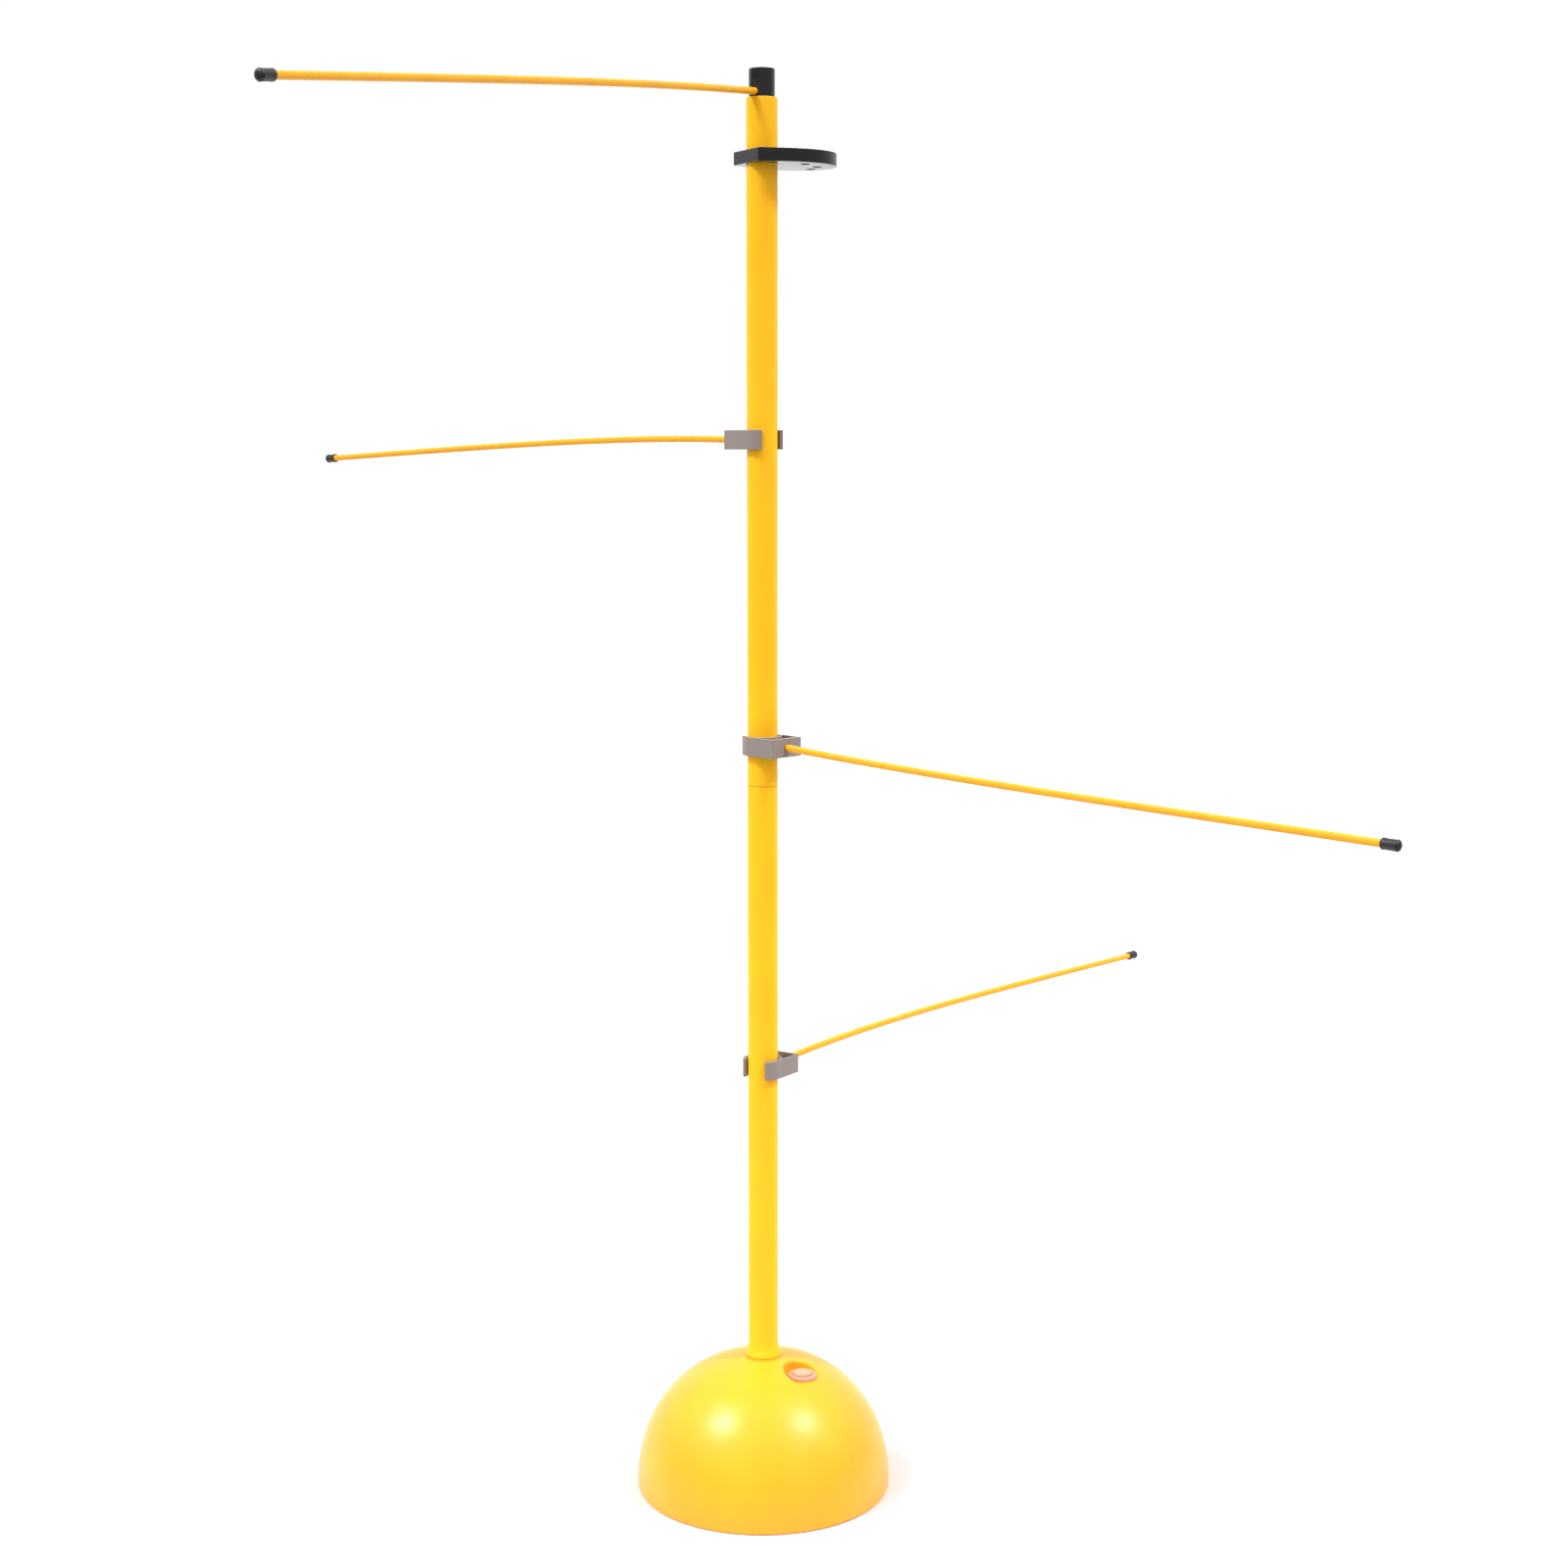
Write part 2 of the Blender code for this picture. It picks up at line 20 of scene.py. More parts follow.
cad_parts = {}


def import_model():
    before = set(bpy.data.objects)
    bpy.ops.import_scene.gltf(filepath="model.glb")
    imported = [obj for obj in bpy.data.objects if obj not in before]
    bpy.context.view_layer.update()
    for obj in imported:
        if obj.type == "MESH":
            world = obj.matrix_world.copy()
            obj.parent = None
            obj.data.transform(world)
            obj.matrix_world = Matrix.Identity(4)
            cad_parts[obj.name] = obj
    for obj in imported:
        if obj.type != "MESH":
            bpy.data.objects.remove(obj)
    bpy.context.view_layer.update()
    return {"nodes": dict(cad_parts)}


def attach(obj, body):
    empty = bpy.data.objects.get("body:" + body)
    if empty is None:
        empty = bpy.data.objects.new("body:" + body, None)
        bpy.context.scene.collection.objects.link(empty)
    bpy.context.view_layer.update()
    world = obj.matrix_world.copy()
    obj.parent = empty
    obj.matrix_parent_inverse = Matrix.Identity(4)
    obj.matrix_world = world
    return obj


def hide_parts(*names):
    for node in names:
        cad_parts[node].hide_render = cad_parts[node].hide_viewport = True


MM = 0.001
GAP = 0.3 * MM
ROD_HOLE = 3.98 * MM
FILLER_X = 42 * MM
FILLER_Y = -30 * MM
OWN_PLACE = "own_place"
LOG = logging.getLogger("stand")

Point = tuple[float, float]
Corner = tuple[Point, float]
Colour = tuple[float, float, float]


class Slot(Enum):
    """The material slots."""

    POLE = "pole_yellow"
    BASE = "base_yellow"
    ROD = "rod_yellow"
    PLASTIC = "black_plastic"
    CAP = "cap_rubber"
    CLIP = "clip_taupe"
    BUNG = "bung_salmon"
    SAND = "sand_tan"
    LINER = "liner_grey"


# ---------------------------------------------------------------- shader building


class Wire:
    """A shader socket that takes part in arithmetic, where each operator adds one Math node."""

    def __init__(self, graph: "Graph", socket: bpy.types.NodeSocket) -> None:
        """Wrap a socket.

        Args:
            graph: The graph that the socket belongs to.
            socket: The output socket to wrap.
        """
        self.graph = graph
        self.socket = socket

    def math(self, operation: str, *others: "Wire | float") -> "Wire":
        """Apply a Math operation to this value and the others.

        Args:
            operation: The Math node's operation.
            *others: The values that follow this one.

        Returns:
            The result.
        """
        return self.graph.math(operation, self, *others)

    def __add__(self, other: "Wire | float") -> "Wire":
        """This value plus another."""
        return self.math("ADD", other)

    def __radd__(self, other: float) -> "Wire":
        """A number plus this value."""
        return self.math("ADD", other)

    def __sub__(self, other: "Wire | float") -> "Wire":
        """This value less another."""
        return self.math("SUBTRACT", other)

    def __rsub__(self, other: float) -> "Wire":
        """A number less this value."""
        return self.graph.math("SUBTRACT", other, self)

    def __mul__(self, other: "Wire | float") -> "Wire":
        """This value times another."""
        return self.math("MULTIPLY", other)

    def __rmul__(self, other: float) -> "Wire":
        """A number times this value."""
        return self.math("MULTIPLY", other)


class Graph:
    """One material's node tree, with the few ways this scene adds nodes to it."""

    def __init__(self, name: str, kept: bool = False) -> None:
        """Start a material.

        Args:
            name: The material's name.
            kept: Whether it goes on a node of the frame, which has no stored place.
        """
        self.material = bpy.data.materials.new(name)
        self.material.use_nodes = True
        self.tree = self.material.node_tree
        self.surface = self.tree.nodes["Principled BSDF"]
        if kept:
            place = self.add("ShaderNodeTexCoord").outputs["Object"]
        else:
            settings = {"attribute_name": OWN_PLACE}
            place = self.add("ShaderNodeAttribute", settings).outputs["Vector"]
        self.place = Wire(self, place)

    def add(
        self,
        kind: str,
        settings: dict[str, object] | None = None,
        inputs: dict[str | int, object] | None = None,
    ) -> bpy.types.Node:
        """Add a node, set it up and then feed its sockets.

        Args:
            kind: The node's type.
            settings: Its own settings, with "stops" for a ramp's positions and colours.
            inputs: A number, a colour or a wire for each socket.

        Returns:
            The node.
        """
        node = self.tree.nodes.new(kind)
        for name, value in (settings or {}).items():
            if name == "stops":
                self._set_stops(node.color_ramp, value)
            else:
                setattr(node, name, value)
        for name, value in (inputs or {}).items():
            self.feed(node, name, value)
        return node

    @staticmethod
    def _set_stops(ramp: bpy.types.ColorRamp, stops: Sequence[tuple[float, Colour]]) -> None:
        """Give a ramp its stops.

        Args:
            ramp: The ramp.
            stops: Pairs of position and colour, in order, at least two.
        """
        while len(ramp.elements) < len(stops):
            ramp.elements.new(1.0)
        for element, (position, colour) in zip(ramp.elements, stops):
            element.position = position
            element.color = (*colour, 1.0)

    def feed(self, node: bpy.types.Node, name: str | int, value: object) -> None:
        """Link or set one input.

        Args:
            node: The node to feed.
            name: The input's name or index.
            value: A wire, a number, a vector or a colour.
        """
        socket = node.inputs[name]
        if isinstance(value, Wire):
            self.tree.links.new(value.socket, socket)
        elif socket.type == "RGBA" and len(value) == 3:
            socket.default_value = (*value, 1.0)
        else:
            socket.default_value = value

    def math(self, operation: str, *values: "Wire | float") -> Wire:
        """A Math node on these values.

        Args:
            operation: The node's operation.
            *values: Wires or numbers.

        Returns:
            Its result.
        """
        node = self.add("ShaderNodeMath", {"operation": operation}, dict(enumerate(values)))
        return Wire(self, node.outputs[0])

    def stretched(self, scale: tuple[float, float, float]) -> Wire:
        """The object's own coordinates, scaled along each axis.

        Args:
            scale: The factor on X, Y and Z.

        Returns:
            The scaled position.
        """
        node = self.add(
            "ShaderNodeVectorMath", {"operation": "MULTIPLY"}, {0: self.place, 1: scale}
        )
        return Wire(self, node.outputs[0])

    def noise(self, scale: float, detail: float = 2.0, where: Wire | None = None) -> Wire:
        """Fractal noise from 0 to 1.

        Args:
            scale: Features per metre.
            detail: Octaves.
            where: The position to read, or None for the object's own.

        Returns:
            The noise.
        """
        inputs = {"Vector": where or self.place, "Scale": scale, "Detail": detail}
        return Wire(self, self.add("ShaderNodeTexNoise", None, inputs).outputs[0])

    def cells(self, scale: float) -> Wire:
        """Distance to the nearest cell centre.

        Args:
            scale: Cells per metre.

        Returns:
            The distance, in cells.
        """
        inputs = {"Vector": self.place, "Scale": scale}
        return Wire(self, self.add("ShaderNodeTexVoronoi", None, inputs).outputs["Distance"])

    def band(
        self, value: Wire, low: float, high: float, start: float = 0.0, end: float = 1.0
    ) -> Wire:
        """Map a range of a value onto another range, smoothly and clamped.

        Args:
            value: The value to map.
            low: Where the result is start.
            high: Where the result is end.
            start: The result at and below low.
            end: The result at and above high.

        Returns:
            The mapped value.
        """
        node = self.add(
            "ShaderNodeMapRange",
            {"interpolation_type": "SMOOTHSTEP"},
            {"Value": value, 1: low, 2: high, 3: start, 4: end},
        )
        return Wire(self, node.outputs[0])

    def height(self) -> Wire:
        """The object's own Z coordinate."""
        node = self.add("ShaderNodeSeparateXYZ", None, {0: self.place})
        return Wire(self, node.outputs["Z"])

    def mix(self, share: Wire, first: "Wire | Colour", second: "Wire | Colour") -> Wire:
        """Blend two colours.

        Args:
            share: 0 for the first, 1 for the second.
            first: The first colour.
            second: The second colour.

        Returns:
            The blend.
        """
        node = self.add("ShaderNodeMix", {"data_type": "RGBA"}, {0: share})
        self.feed(node, 6, first)
        self.feed(node, 7, second)
        return Wire(self, node.outputs[2])

    def bump(self, height: Wire, depth: float, over: Wire | None = None) -> Wire:
        """A normal that follows a height.

        Args:
            height: The height from 0 to 1.
            depth: What a height of 1 stands for, in metres.
            over: A normal to add this one to.

        Returns:
            The normal.
        """
        inputs: dict[str | int, object] = {"Height": height, "Distance": depth, "Strength": 1.0}
        if over:
            inputs["Normal"] = over
        return Wire(self, self.add("ShaderNodeBump", None, inputs).outputs[0])

    def finish(self, **sockets: object) -> bpy.types.Material:
        """Feed the surface shader and hand over the material.

        Args:
            **sockets: Values by socket name, with _ for a space.

        Returns:
            The material.
        """
        for name, value in sockets.items():
            self.feed(self.surface, name.replace("_", " "), value)
        return self.material


# ---------------------------------------------------------------- finishes


@dataclass(frozen=True)
class MouldedFinish:
    """Coloured moulded plastic: mottled pigment, orange peel, scuffs and dust near the floor."""

    name: str
    colour: Colour
    deep: Colour
    roughness: float = 0.36
    peel: float = 520.0
    peel_depth: float = 0.03 * MM
    specular: float = 0.5
    sheen: float = 0.0
    sheen_tint: Colour = (1.0, 0.95, 0.75)
    dust: Colour = (0.42, 0.33, 0.2)
    scuff: float = 0.12
    dust_height: float = 0.0

    def material(self) -> bpy.types.Material:
        """Build the material.

        Returns:
            The material.
        """
        graph = Graph(self.name)
        mottle = graph.band(graph.noise(9.0, 4.0), 0.3, 0.7)
        flow = graph.band(graph.noise(60.0, 3.0, graph.stretched((1.0, 1.0, 0.12))), 0.35, 0.75)
        colour = graph.mix(mottle * 0.55 + flow * 0.25, self.colour, self.deep)
        scratch = graph.noise(240.0, 5.0, graph.stretched((1.0, 1.0, 0.06)))
        scuffs = graph.band(scratch, 0.64, 0.72) * graph.band(graph.noise(14.0, 2.0), 0.5, 0.66)
        pale = tuple(channel + (1.0 - channel) * 0.35 for channel in self.colour)
        colour = graph.mix(scuffs * self.scuff, colour, pale)
        if self.dust_height:
            settled = graph.band(graph.height(), 0.0, self.dust_height, 1.0, 0.0)
            speck = graph.band(graph.noise(900.0, 3.0), 0.5, 0.72)
            colour = graph.mix(settled * speck * 0.18, colour, self.dust)
        roughness = self.roughness + mottle * 0.05 + scuffs * 0.12 + graph.noise(180.0, 3.0) * 0.05
        fine = graph.noise(self.peel, 2.0) * 0.7 + graph.noise(self.peel * 6.0, 2.0) * 0.3
        normal = graph.bump(fine, self.peel_depth)
        normal = graph.bump(scuffs, 0.01 * MM, normal)
        return graph.finish(
            Base_Color=colour,
            Roughness=roughness - 0.05,
            Normal=normal,
            Specular_IOR_Level=self.specular,
            Sheen_Weight=self.sheen,
            Sheen_Roughness=0.45,
            Sheen_Tint=self.sheen_tint,
        )


@dataclass(frozen=True)
class RodFinish:
    """A drawn glass-fibre rod: fine streaks along its length and rubbed patches."""

    name: str
    colour: Colour
    deep: Colour
    rubbed: Colour = (0.98, 0.72, 0.3)

    def material(self) -> bpy.types.Material:
        """Build the material.

        Returns:
            The material.
        """
        graph = Graph(self.name)
        along = graph.stretched((0.02, 1.0, 1.0))
        streaks = graph.noise(1500.0, 4.0, along)
        patches = graph.noise(18.0, 3.0, graph.stretched((1.0, 0.2, 0.2)))
        share = graph.band(streaks, 0.35, 0.68) * 0.5 + graph.band(patches, 0.35, 0.7) * 0.3
        rub = graph.band(graph.noise(70.0, 4.0), 0.62, 0.74)
        colour = graph.mix(share, self.colour, self.deep)
        colour = graph.mix(rub * 0.15, colour, self.rubbed)
        return graph.finish(
            Base_Color=colour,
            Roughness=0.3 + rub * 0.15 + streaks * 0.1,
            Normal=graph.bump(streaks, 0.03 * MM),
            Specular_IOR_Level=0.22,
        )


@dataclass(frozen=True)
class RubberFinish:
    """Soft rubber: a fine matt grain with slightly polished high spots."""

    name: str
    colour: Colour
    worn: Colour
    roughness: float = 0.5
    grain: float = 1400.0
    depth: float = 0.05 * MM
    subsurface: float = 0.0

    def material(self) -> bpy.types.Material:
        """Build the material.

        Returns:
            The material.
        """
        graph = Graph(self.name)
        grain = graph.noise(self.grain, 3.0)
        patch = graph.band(graph.noise(45.0, 3.0), 0.4, 0.7)
        polish = graph.band(graph.noise(120.0, 3.0), 0.55, 0.75)
        colour = graph.mix(patch * 0.5 + grain * 0.15, self.colour, self.worn)
        return graph.finish(
            Base_Color=colour,
            Roughness=self.roughness - polish * 0.1 + grain * 0.08,
            Normal=graph.bump(grain, self.depth),
            Subsurface_Weight=self.subsurface,
            Subsurface_Scale=3.0 * MM,
        )


@dataclass(frozen=True)
class SandFinish:
    """Dry washed sand: pale and dark grains that stand proud of each other."""

    name: str
    pale: Colour = (0.72, 0.56, 0.36)
    brown: Colour = (0.4, 0.29, 0.17)
    patched: Colour = (0.5, 0.38, 0.24)
    dark: Colour = (0.12, 0.09, 0.07)

    def material(self) -> bpy.types.Material:
        """Build the material.

        Returns:
            The material.
        """
        graph = Graph(self.name, kept=True)
        grains = graph.cells(1300.0)
        patch = graph.noise(40.0, 4.0)
        colour = graph.mix(graph.band(grains, 0.1, 0.75), self.pale, self.brown)
        colour = graph.mix(graph.band(patch, 0.4, 0.7) * 0.4, colour, self.patched)
        dark = graph.band(graph.noise(2100.0, 2.0), 0.66, 0.72)
        colour = graph.mix(dark * 0.7, colour, self.dark)
        return graph.finish(
            Base_Color=colour,
            Roughness=0.82 + grains * 0.12,
            Normal=graph.bump(1 - grains, 0.5 * MM),
        )


@dataclass(frozen=True)
class FloorFinish:
    """A pale studio floor with a barely visible texture."""

    name: str

    def material(self) -> bpy.types.Material:
        """Build the material.

        Returns:
            The material.
        """
        graph = Graph(self.name)
        cloud = graph.band(graph.noise(3.0, 2.0), 0.3, 0.7)
        colour = graph.mix(cloud, (0.58, 0.58, 0.58), (0.62, 0.62, 0.62))
        return graph.finish(
            Base_Color=colour, Roughness=0.8 + cloud * 0.1, Specular_IOR_Level=0.1
        )


class Finishes:
    """Every finish of the stand, made once and handed out by slot."""

    def __init__(self) -> None:
        """Make the materials."""
        finishes = {
            Slot.BASE: MouldedFinish(
                "base_yellow_moulding", (0.93, 0.35, 0.006), (0.91, 0.305, 0.004), 0.37,
                peel=300.0, specular=0.36, sheen=0.2, dust_height=0.02,
            ),
            Slot.POLE: MouldedFinish(
                "pole_yellow_tube", (0.93, 0.485, 0.014), (0.91, 0.425, 0.011), 0.42,
                peel=420.0, specular=0.12, scuff=0.1,
            ),
            Slot.ROD: RodFinish("rod_yellow_fibre", (0.8, 0.37, 0.013), (0.7, 0.29, 0.01)),
            Slot.PLASTIC: MouldedFinish(
                "black_moulding", (0.0075, 0.0075, 0.0105), (0.005, 0.005, 0.0075), 0.2,
                peel=900.0, peel_depth=0.008 * MM, specular=0.42, scuff=0.04,
            ),
            Slot.CAP: RubberFinish(
                "cap_black_rubber", (0.006, 0.006, 0.008), (0.012, 0.012, 0.014), 0.42
            ),
            Slot.CLIP: MouldedFinish(
                "clip_taupe_moulding", (0.235, 0.193, 0.172), (0.205, 0.168, 0.152), 0.48,
                peel=1100.0, peel_depth=0.02 * MM, scuff=0.2,
            ),
            Slot.BUNG: RubberFinish(
                "bung_salmon_rubber", (0.76, 0.29, 0.19), (0.7, 0.23, 0.15), 0.42,
                grain=900.0, depth=0.02 * MM, subsurface=0.15,
            ),
            Slot.SAND: SandFinish("sand_grains"),
            Slot.LINER: RubberFinish(
                "liner_grey_rubber", (0.1, 0.09, 0.085), (0.13, 0.12, 0.11), 0.6
            ),
        }
        self.by_slot: dict[Slot, bpy.types.Material] = {
            slot: finish.material() for slot, finish in finishes.items()
        }

    def dress(self, obj: bpy.types.Object, slot: Slot) -> None:
        """Give an object the material of a slot.

        Args:
            obj: The object to dress.
            slot: The material slot.
        """
        obj.data.materials.clear()
        obj.data.materials.append(self.by_slot[slot])


# ---------------------------------------------------------------- mesh building


def quarter(steps: int) -> list[float]:
    """The angles of a quarter turn cut into steps, with both ends."""
    return [math.pi / 2 * k / steps for k in range(steps + 1)]


def filleted(
    corners: Sequence[Corner], segments: int = 5, closed: bool = False
) -> list[Point]:
    """Round the corners of a polyline.

    Args:
        corners: Each corner and its radius, 0 to leave it sharp.
        segments: Pieces in each arc.
        closed: Whether the last corner joins the first.

    Returns:
        The rounded polyline.
    """
    made: list[Point] = []
    count = len(corners)
    for i, (point, radius) in enumerate(corners):
        at_end = not closed and i in (0, count - 1)
        if radius <= 0 or at_end:
            made.append(point)
            continue
        corner = Vector(point)
        before = (Vector(corners[i - 1][0]) - corner).normalized()
        after = (Vector(corners[(i + 1) % count][0]) - corner).normalized()
        half = before.angle(after) / 2
        inset = radius / math.tan(half)
        centre = corner + (before + after).normalized() * (radius / math.sin(half))
        start = corner + before * inset - centre
        turn = math.pi - 2 * half
        if before.x * after.y - before.y * after.x > 0:
            turn = -turn
        for k in range(segments + 1):
            angle = turn * k / segments
            x = start.x * math.cos(angle) - start.y * math.sin(angle)
            y = start.x * math.sin(angle) + start.y * math.cos(angle)
            made.append((centre.x + x, centre.y + y))
    return made


def arc_points(
    radius: float, start: float, end: float, count: int, centre: Point = (0.0, 0.0)
) -> list[Point]:
    """Points on an arc.

    Args:
        radius: The arc's radius.
        start: Its first azimuth in degrees.
        end: Its last azimuth in degrees.
        count: How many points.
        centre: The arc's centre.

    Returns:
        The points in order.
    """
    angles = [math.radians(start + (end - start) * i / (count - 1)) for i in range(count)]
    return [(centre[0] + radius * math.cos(a), centre[1] + radius * math.sin(a)) for a in angles]


def circle_points(
    radius: float, count: int, centre: Point = (0.0, 0.0), clockwise: bool = False
) -> list[Point]:
    """Points round a full circle.

    Args:
        radius: The circle's radius.
        count: How many points.
        centre: The circle's centre.
        clockwise: Whether they run clockwise, as a hole's do.

    Returns:
        The points, with the first not repeated.
    """
    points = arc_points(radius, 0.0, 360.0, count + 1, centre)[:-1]
    return points[::-1] if clockwise else points


class Draft:
    """Points and faces gathered for one mesh."""

    def __init__(self) -> None:
        """Start with nothing."""
        self.points: list[tuple[float, float, float]] = []
        self.faces: list[tuple[int, ...]] = []

    def add(self, points: Iterable[Sequence[float]]) -> list[int]:
        """Add points.

        Args:
            points: Their coordinates.

        Returns:
            Their indices.
        """
        first = len(self.points)
        self.points.extend(tuple(p) for p in points)
        return list(range(first, len(self.points)))

    def ring(self, radius: float, z: float, steps: int) -> list[int]:
        """Add a level ring about the Z axis, or one point where the radius is 0.

        Args:
            radius: The ring's radius.
            z: Its height.
            steps: Points round it.

        Returns:
            The indices.
        """
        if radius <= 0:
            return self.add([(0.0, 0.0, z)])
        return self.add([(x, y, z) for x, y in circle_points(radius, steps)])

    def bridge(self, first: Sequence[int], second: Sequence[int]) -> None:
        """Join two closed rings, or a ring and a point, with faces.

        Args:
            first: The first ring.
            second: The second ring.
        """
        count = max(len(first), len(second))
        for i in range(count):
            j = (i + 1) % count
            if len(first) == 1:
                self.faces.append((first[0], second[j], second[i]))
            elif len(second) == 1:
                self.faces.append((first[i], first[j], second[0]))
            else:
                self.faces.append((first[i], first[j], second[j], second[i]))

    def turn(self, profile: Sequence[Point], steps: int, closed: bool) -> None:
        """Turn a profile of radius and height about Z.

        Args:
            profile: The profile's points.
            steps: Faces round the axis.
            closed: Whether the last point joins the first.
        """
        rings = [self.ring(radius, z, steps) for radius, z in profile]
        for first, second in zip(rings, rings[1:]):
            self.bridge(first, second)
        if closed:
            self.bridge(rings[-1], rings[0])

    def make(self, name: str, sharp: float = 40.0) -> bpy.types.Object:
        """Turn the draft into an object with outward faces.

        Args:
            name: The object's name.
            sharp: Edges over this angle in degrees stay sharp.

        Returns:
            The object, linked to the scene.
        """
        mesh = bpy.data.meshes.new(name)
        mesh.from_pydata(self.points, [], self.faces)
        shape = bmesh.new()
        shape.from_mesh(mesh)
        bmesh.ops.recalc_face_normals(shape, faces=shape.faces)
        shape.to_mesh(mesh)
        shape.free()
        mesh.shade_smooth()
        mesh.set_sharp_from_angle(angle=math.radians(sharp))
        obj = bpy.data.objects.new(name, mesh)
        bpy.context.scene.collection.objects.link(obj)
        return obj


def turned(
    name: str, profile: Sequence[Point], steps: int, closed: bool = False
) -> bpy.types.Object:
    """A turned solid.

    Args:
        name: The object's name.
        profile: Radius and height along its surface.
        steps: Faces round the axis.
        closed: Whether the profile closes on itself, as a tube's does.

    Returns:
        The object.
    """
    draft = Draft()
    draft.turn(profile, steps, closed)
    return draft.make(name)


def inset(loop: Sequence[Point], distance: float) -> list[Point]:
    """Move a closed loop towards its left side, where the material is.

    Args:
        loop: The loop, anticlockwise round material or clockwise round a hole.
        distance: How far to move it.

    Returns:
        The moved loop.
    """
    made: list[Point] = []
    count = len(loop)
    for i, point in enumerate(loop):
        here = Vector(point)
        back = (here - Vector(loop[i - 1])).normalized()
        ahead = (Vector(loop[(i + 1) % count]) - here).normalized()
        first = Vector((-back.y, back.x))
        both = (first + Vector((-ahead.y, ahead.x))).normalized()
        step = distance / max(both.dot(first), 0.35)
        made.append((here.x + both.x * step, here.y + both.y * step))
    return made


def slab(
    name: str, loops: Sequence[Sequence[Point]], height: float, edge: float, rings: int = 4
) -> bpy.types.Object:
    """A flat solid with rounded edges, standing on its own z = 0.

    Args:
        name: The object's name.
        loops: The outline anticlockwise, then each hole clockwise.
        height: Its thickness.
        edge: The radius of its edges.
        rings: Faces in each rounded edge.

    Returns:
        The object.
    """
    draft = Draft()
    levels = [(edge * (1 - math.sin(a)), edge * (1 - math.cos(a))) for a in quarter(rings)]
    levels += [(step, height - z) for step, z in reversed(levels)]
    ends: tuple[list[int], list[int]] = ([], [])
    for loop in loops:
        stack = [draft.add([(x, y, z) for x, y in inset(loop, step)]) for step, z in levels]
        for first, second in zip(stack, stack[1:]):
            draft.bridge(first, second)
        ends[0].extend(stack[0])
        ends[1].extend(stack[-1])
    caps = tessellate_polygon([[Vector((x, y, 0)) for x, y in inset(loop, edge)] for loop in loops])
    for side in ends:
        draft.faces.extend(tuple(side[i] for i in cap) for cap in caps)
    return draft.make(name)


def frozen(obj: bpy.types.Object) -> bpy.types.Object:
    """Replace an object's mesh with what its modifiers make of it.

    Args:
        obj: The object.

    Returns:
        The same object, with no modifiers.
    """
    graph = bpy.context.evaluated_depsgraph_get()
    mesh = bpy.data.meshes.new_from_object(obj.evaluated_get(graph))
    obj.modifiers.clear()
    obj.data = mesh
    return obj


def drilled(
    obj: bpy.types.Object, radius: float, length: float, place: Matrix, sides: int = 48
) -> bpy.types.Object:
    """Drill a round hole along the X axis of a place.

    Args:
        obj: The object to drill.
        radius: The hole's radius.
        length: The drill's length.
        place: The drill's middle, with X along the hole.
        sides: Faces round the hole.

    Returns:
        The drilled object.
    """
    profile = [(0.0, -length / 2), (radius, -length / 2), (radius, length / 2), (0.0, length / 2)]
    drill = turned("drill", profile, sides)
    drill.matrix_world = place @ Matrix.Rotation(math.pi / 2, 4, "Y")
    cut = obj.modifiers.new("drill", "BOOLEAN")
    cut.operation = "DIFFERENCE"
    cut.solver = "EXACT"
    cut.object = drill
    bpy.context.view_layer.update()
    frozen(obj)
    bpy.data.objects.remove(drill, do_unlink=True)
    return obj


def evened(obj: bpy.types.Object) -> bpy.types.Object:
    """Weigh an object's normals by face area, so that its flats shade flat.

    Args:
        obj: The object.

    Returns:
        The same object.
    """
    even = obj.modifiers.new("even", "WEIGHTED_NORMAL")
    even.keep_sharp = True
    even.weight = 80
    return frozen(obj)


def settle(obj: bpy.types.Object) -> None:
    """Keep a mesh's own coordinates for its finish, then move its place into its points.

    Args:
        obj: The object, which ends at the origin.
    """
    mesh = obj.data
    own = mesh.attributes.new(OWN_PLACE, "FLOAT_VECTOR", "POINT")
    own.data.foreach_set("vector", [value for point in mesh.vertices for value in point.co])
    mesh.transform(obj.matrix_basis)
    obj.matrix_basis = Matrix.Identity(4)


class Fitter:
    """Sets finished pieces into the frame and counts them."""

    def __init__(self, finishes: Finishes) -> None:
        """Keep the finishes.

        Args:
            finishes: Where materials come from.
        """
        self.finishes = finishes
        self.count = 0

    def fit(self, piece: bpy.types.Object, body: str, slot: Slot, *nodes: str) -> None:
        """Dress a piece, set it on its body and let it stand for its nodes.

        Args:
            piece: The finished piece.
            body: The body it rides on.
            slot: The slot for its finish.
            *nodes: The frame's nodes that it stands for.
        """
        settle(piece)
        self.finishes.dress(piece, slot)
        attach(piece, body)
        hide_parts(*nodes)
        self.count += 1
        LOG.info("%s rides on %s, %d faces", piece.name, body, len(piece.data.polygons))


# ---------------------------------------------------------------- the base


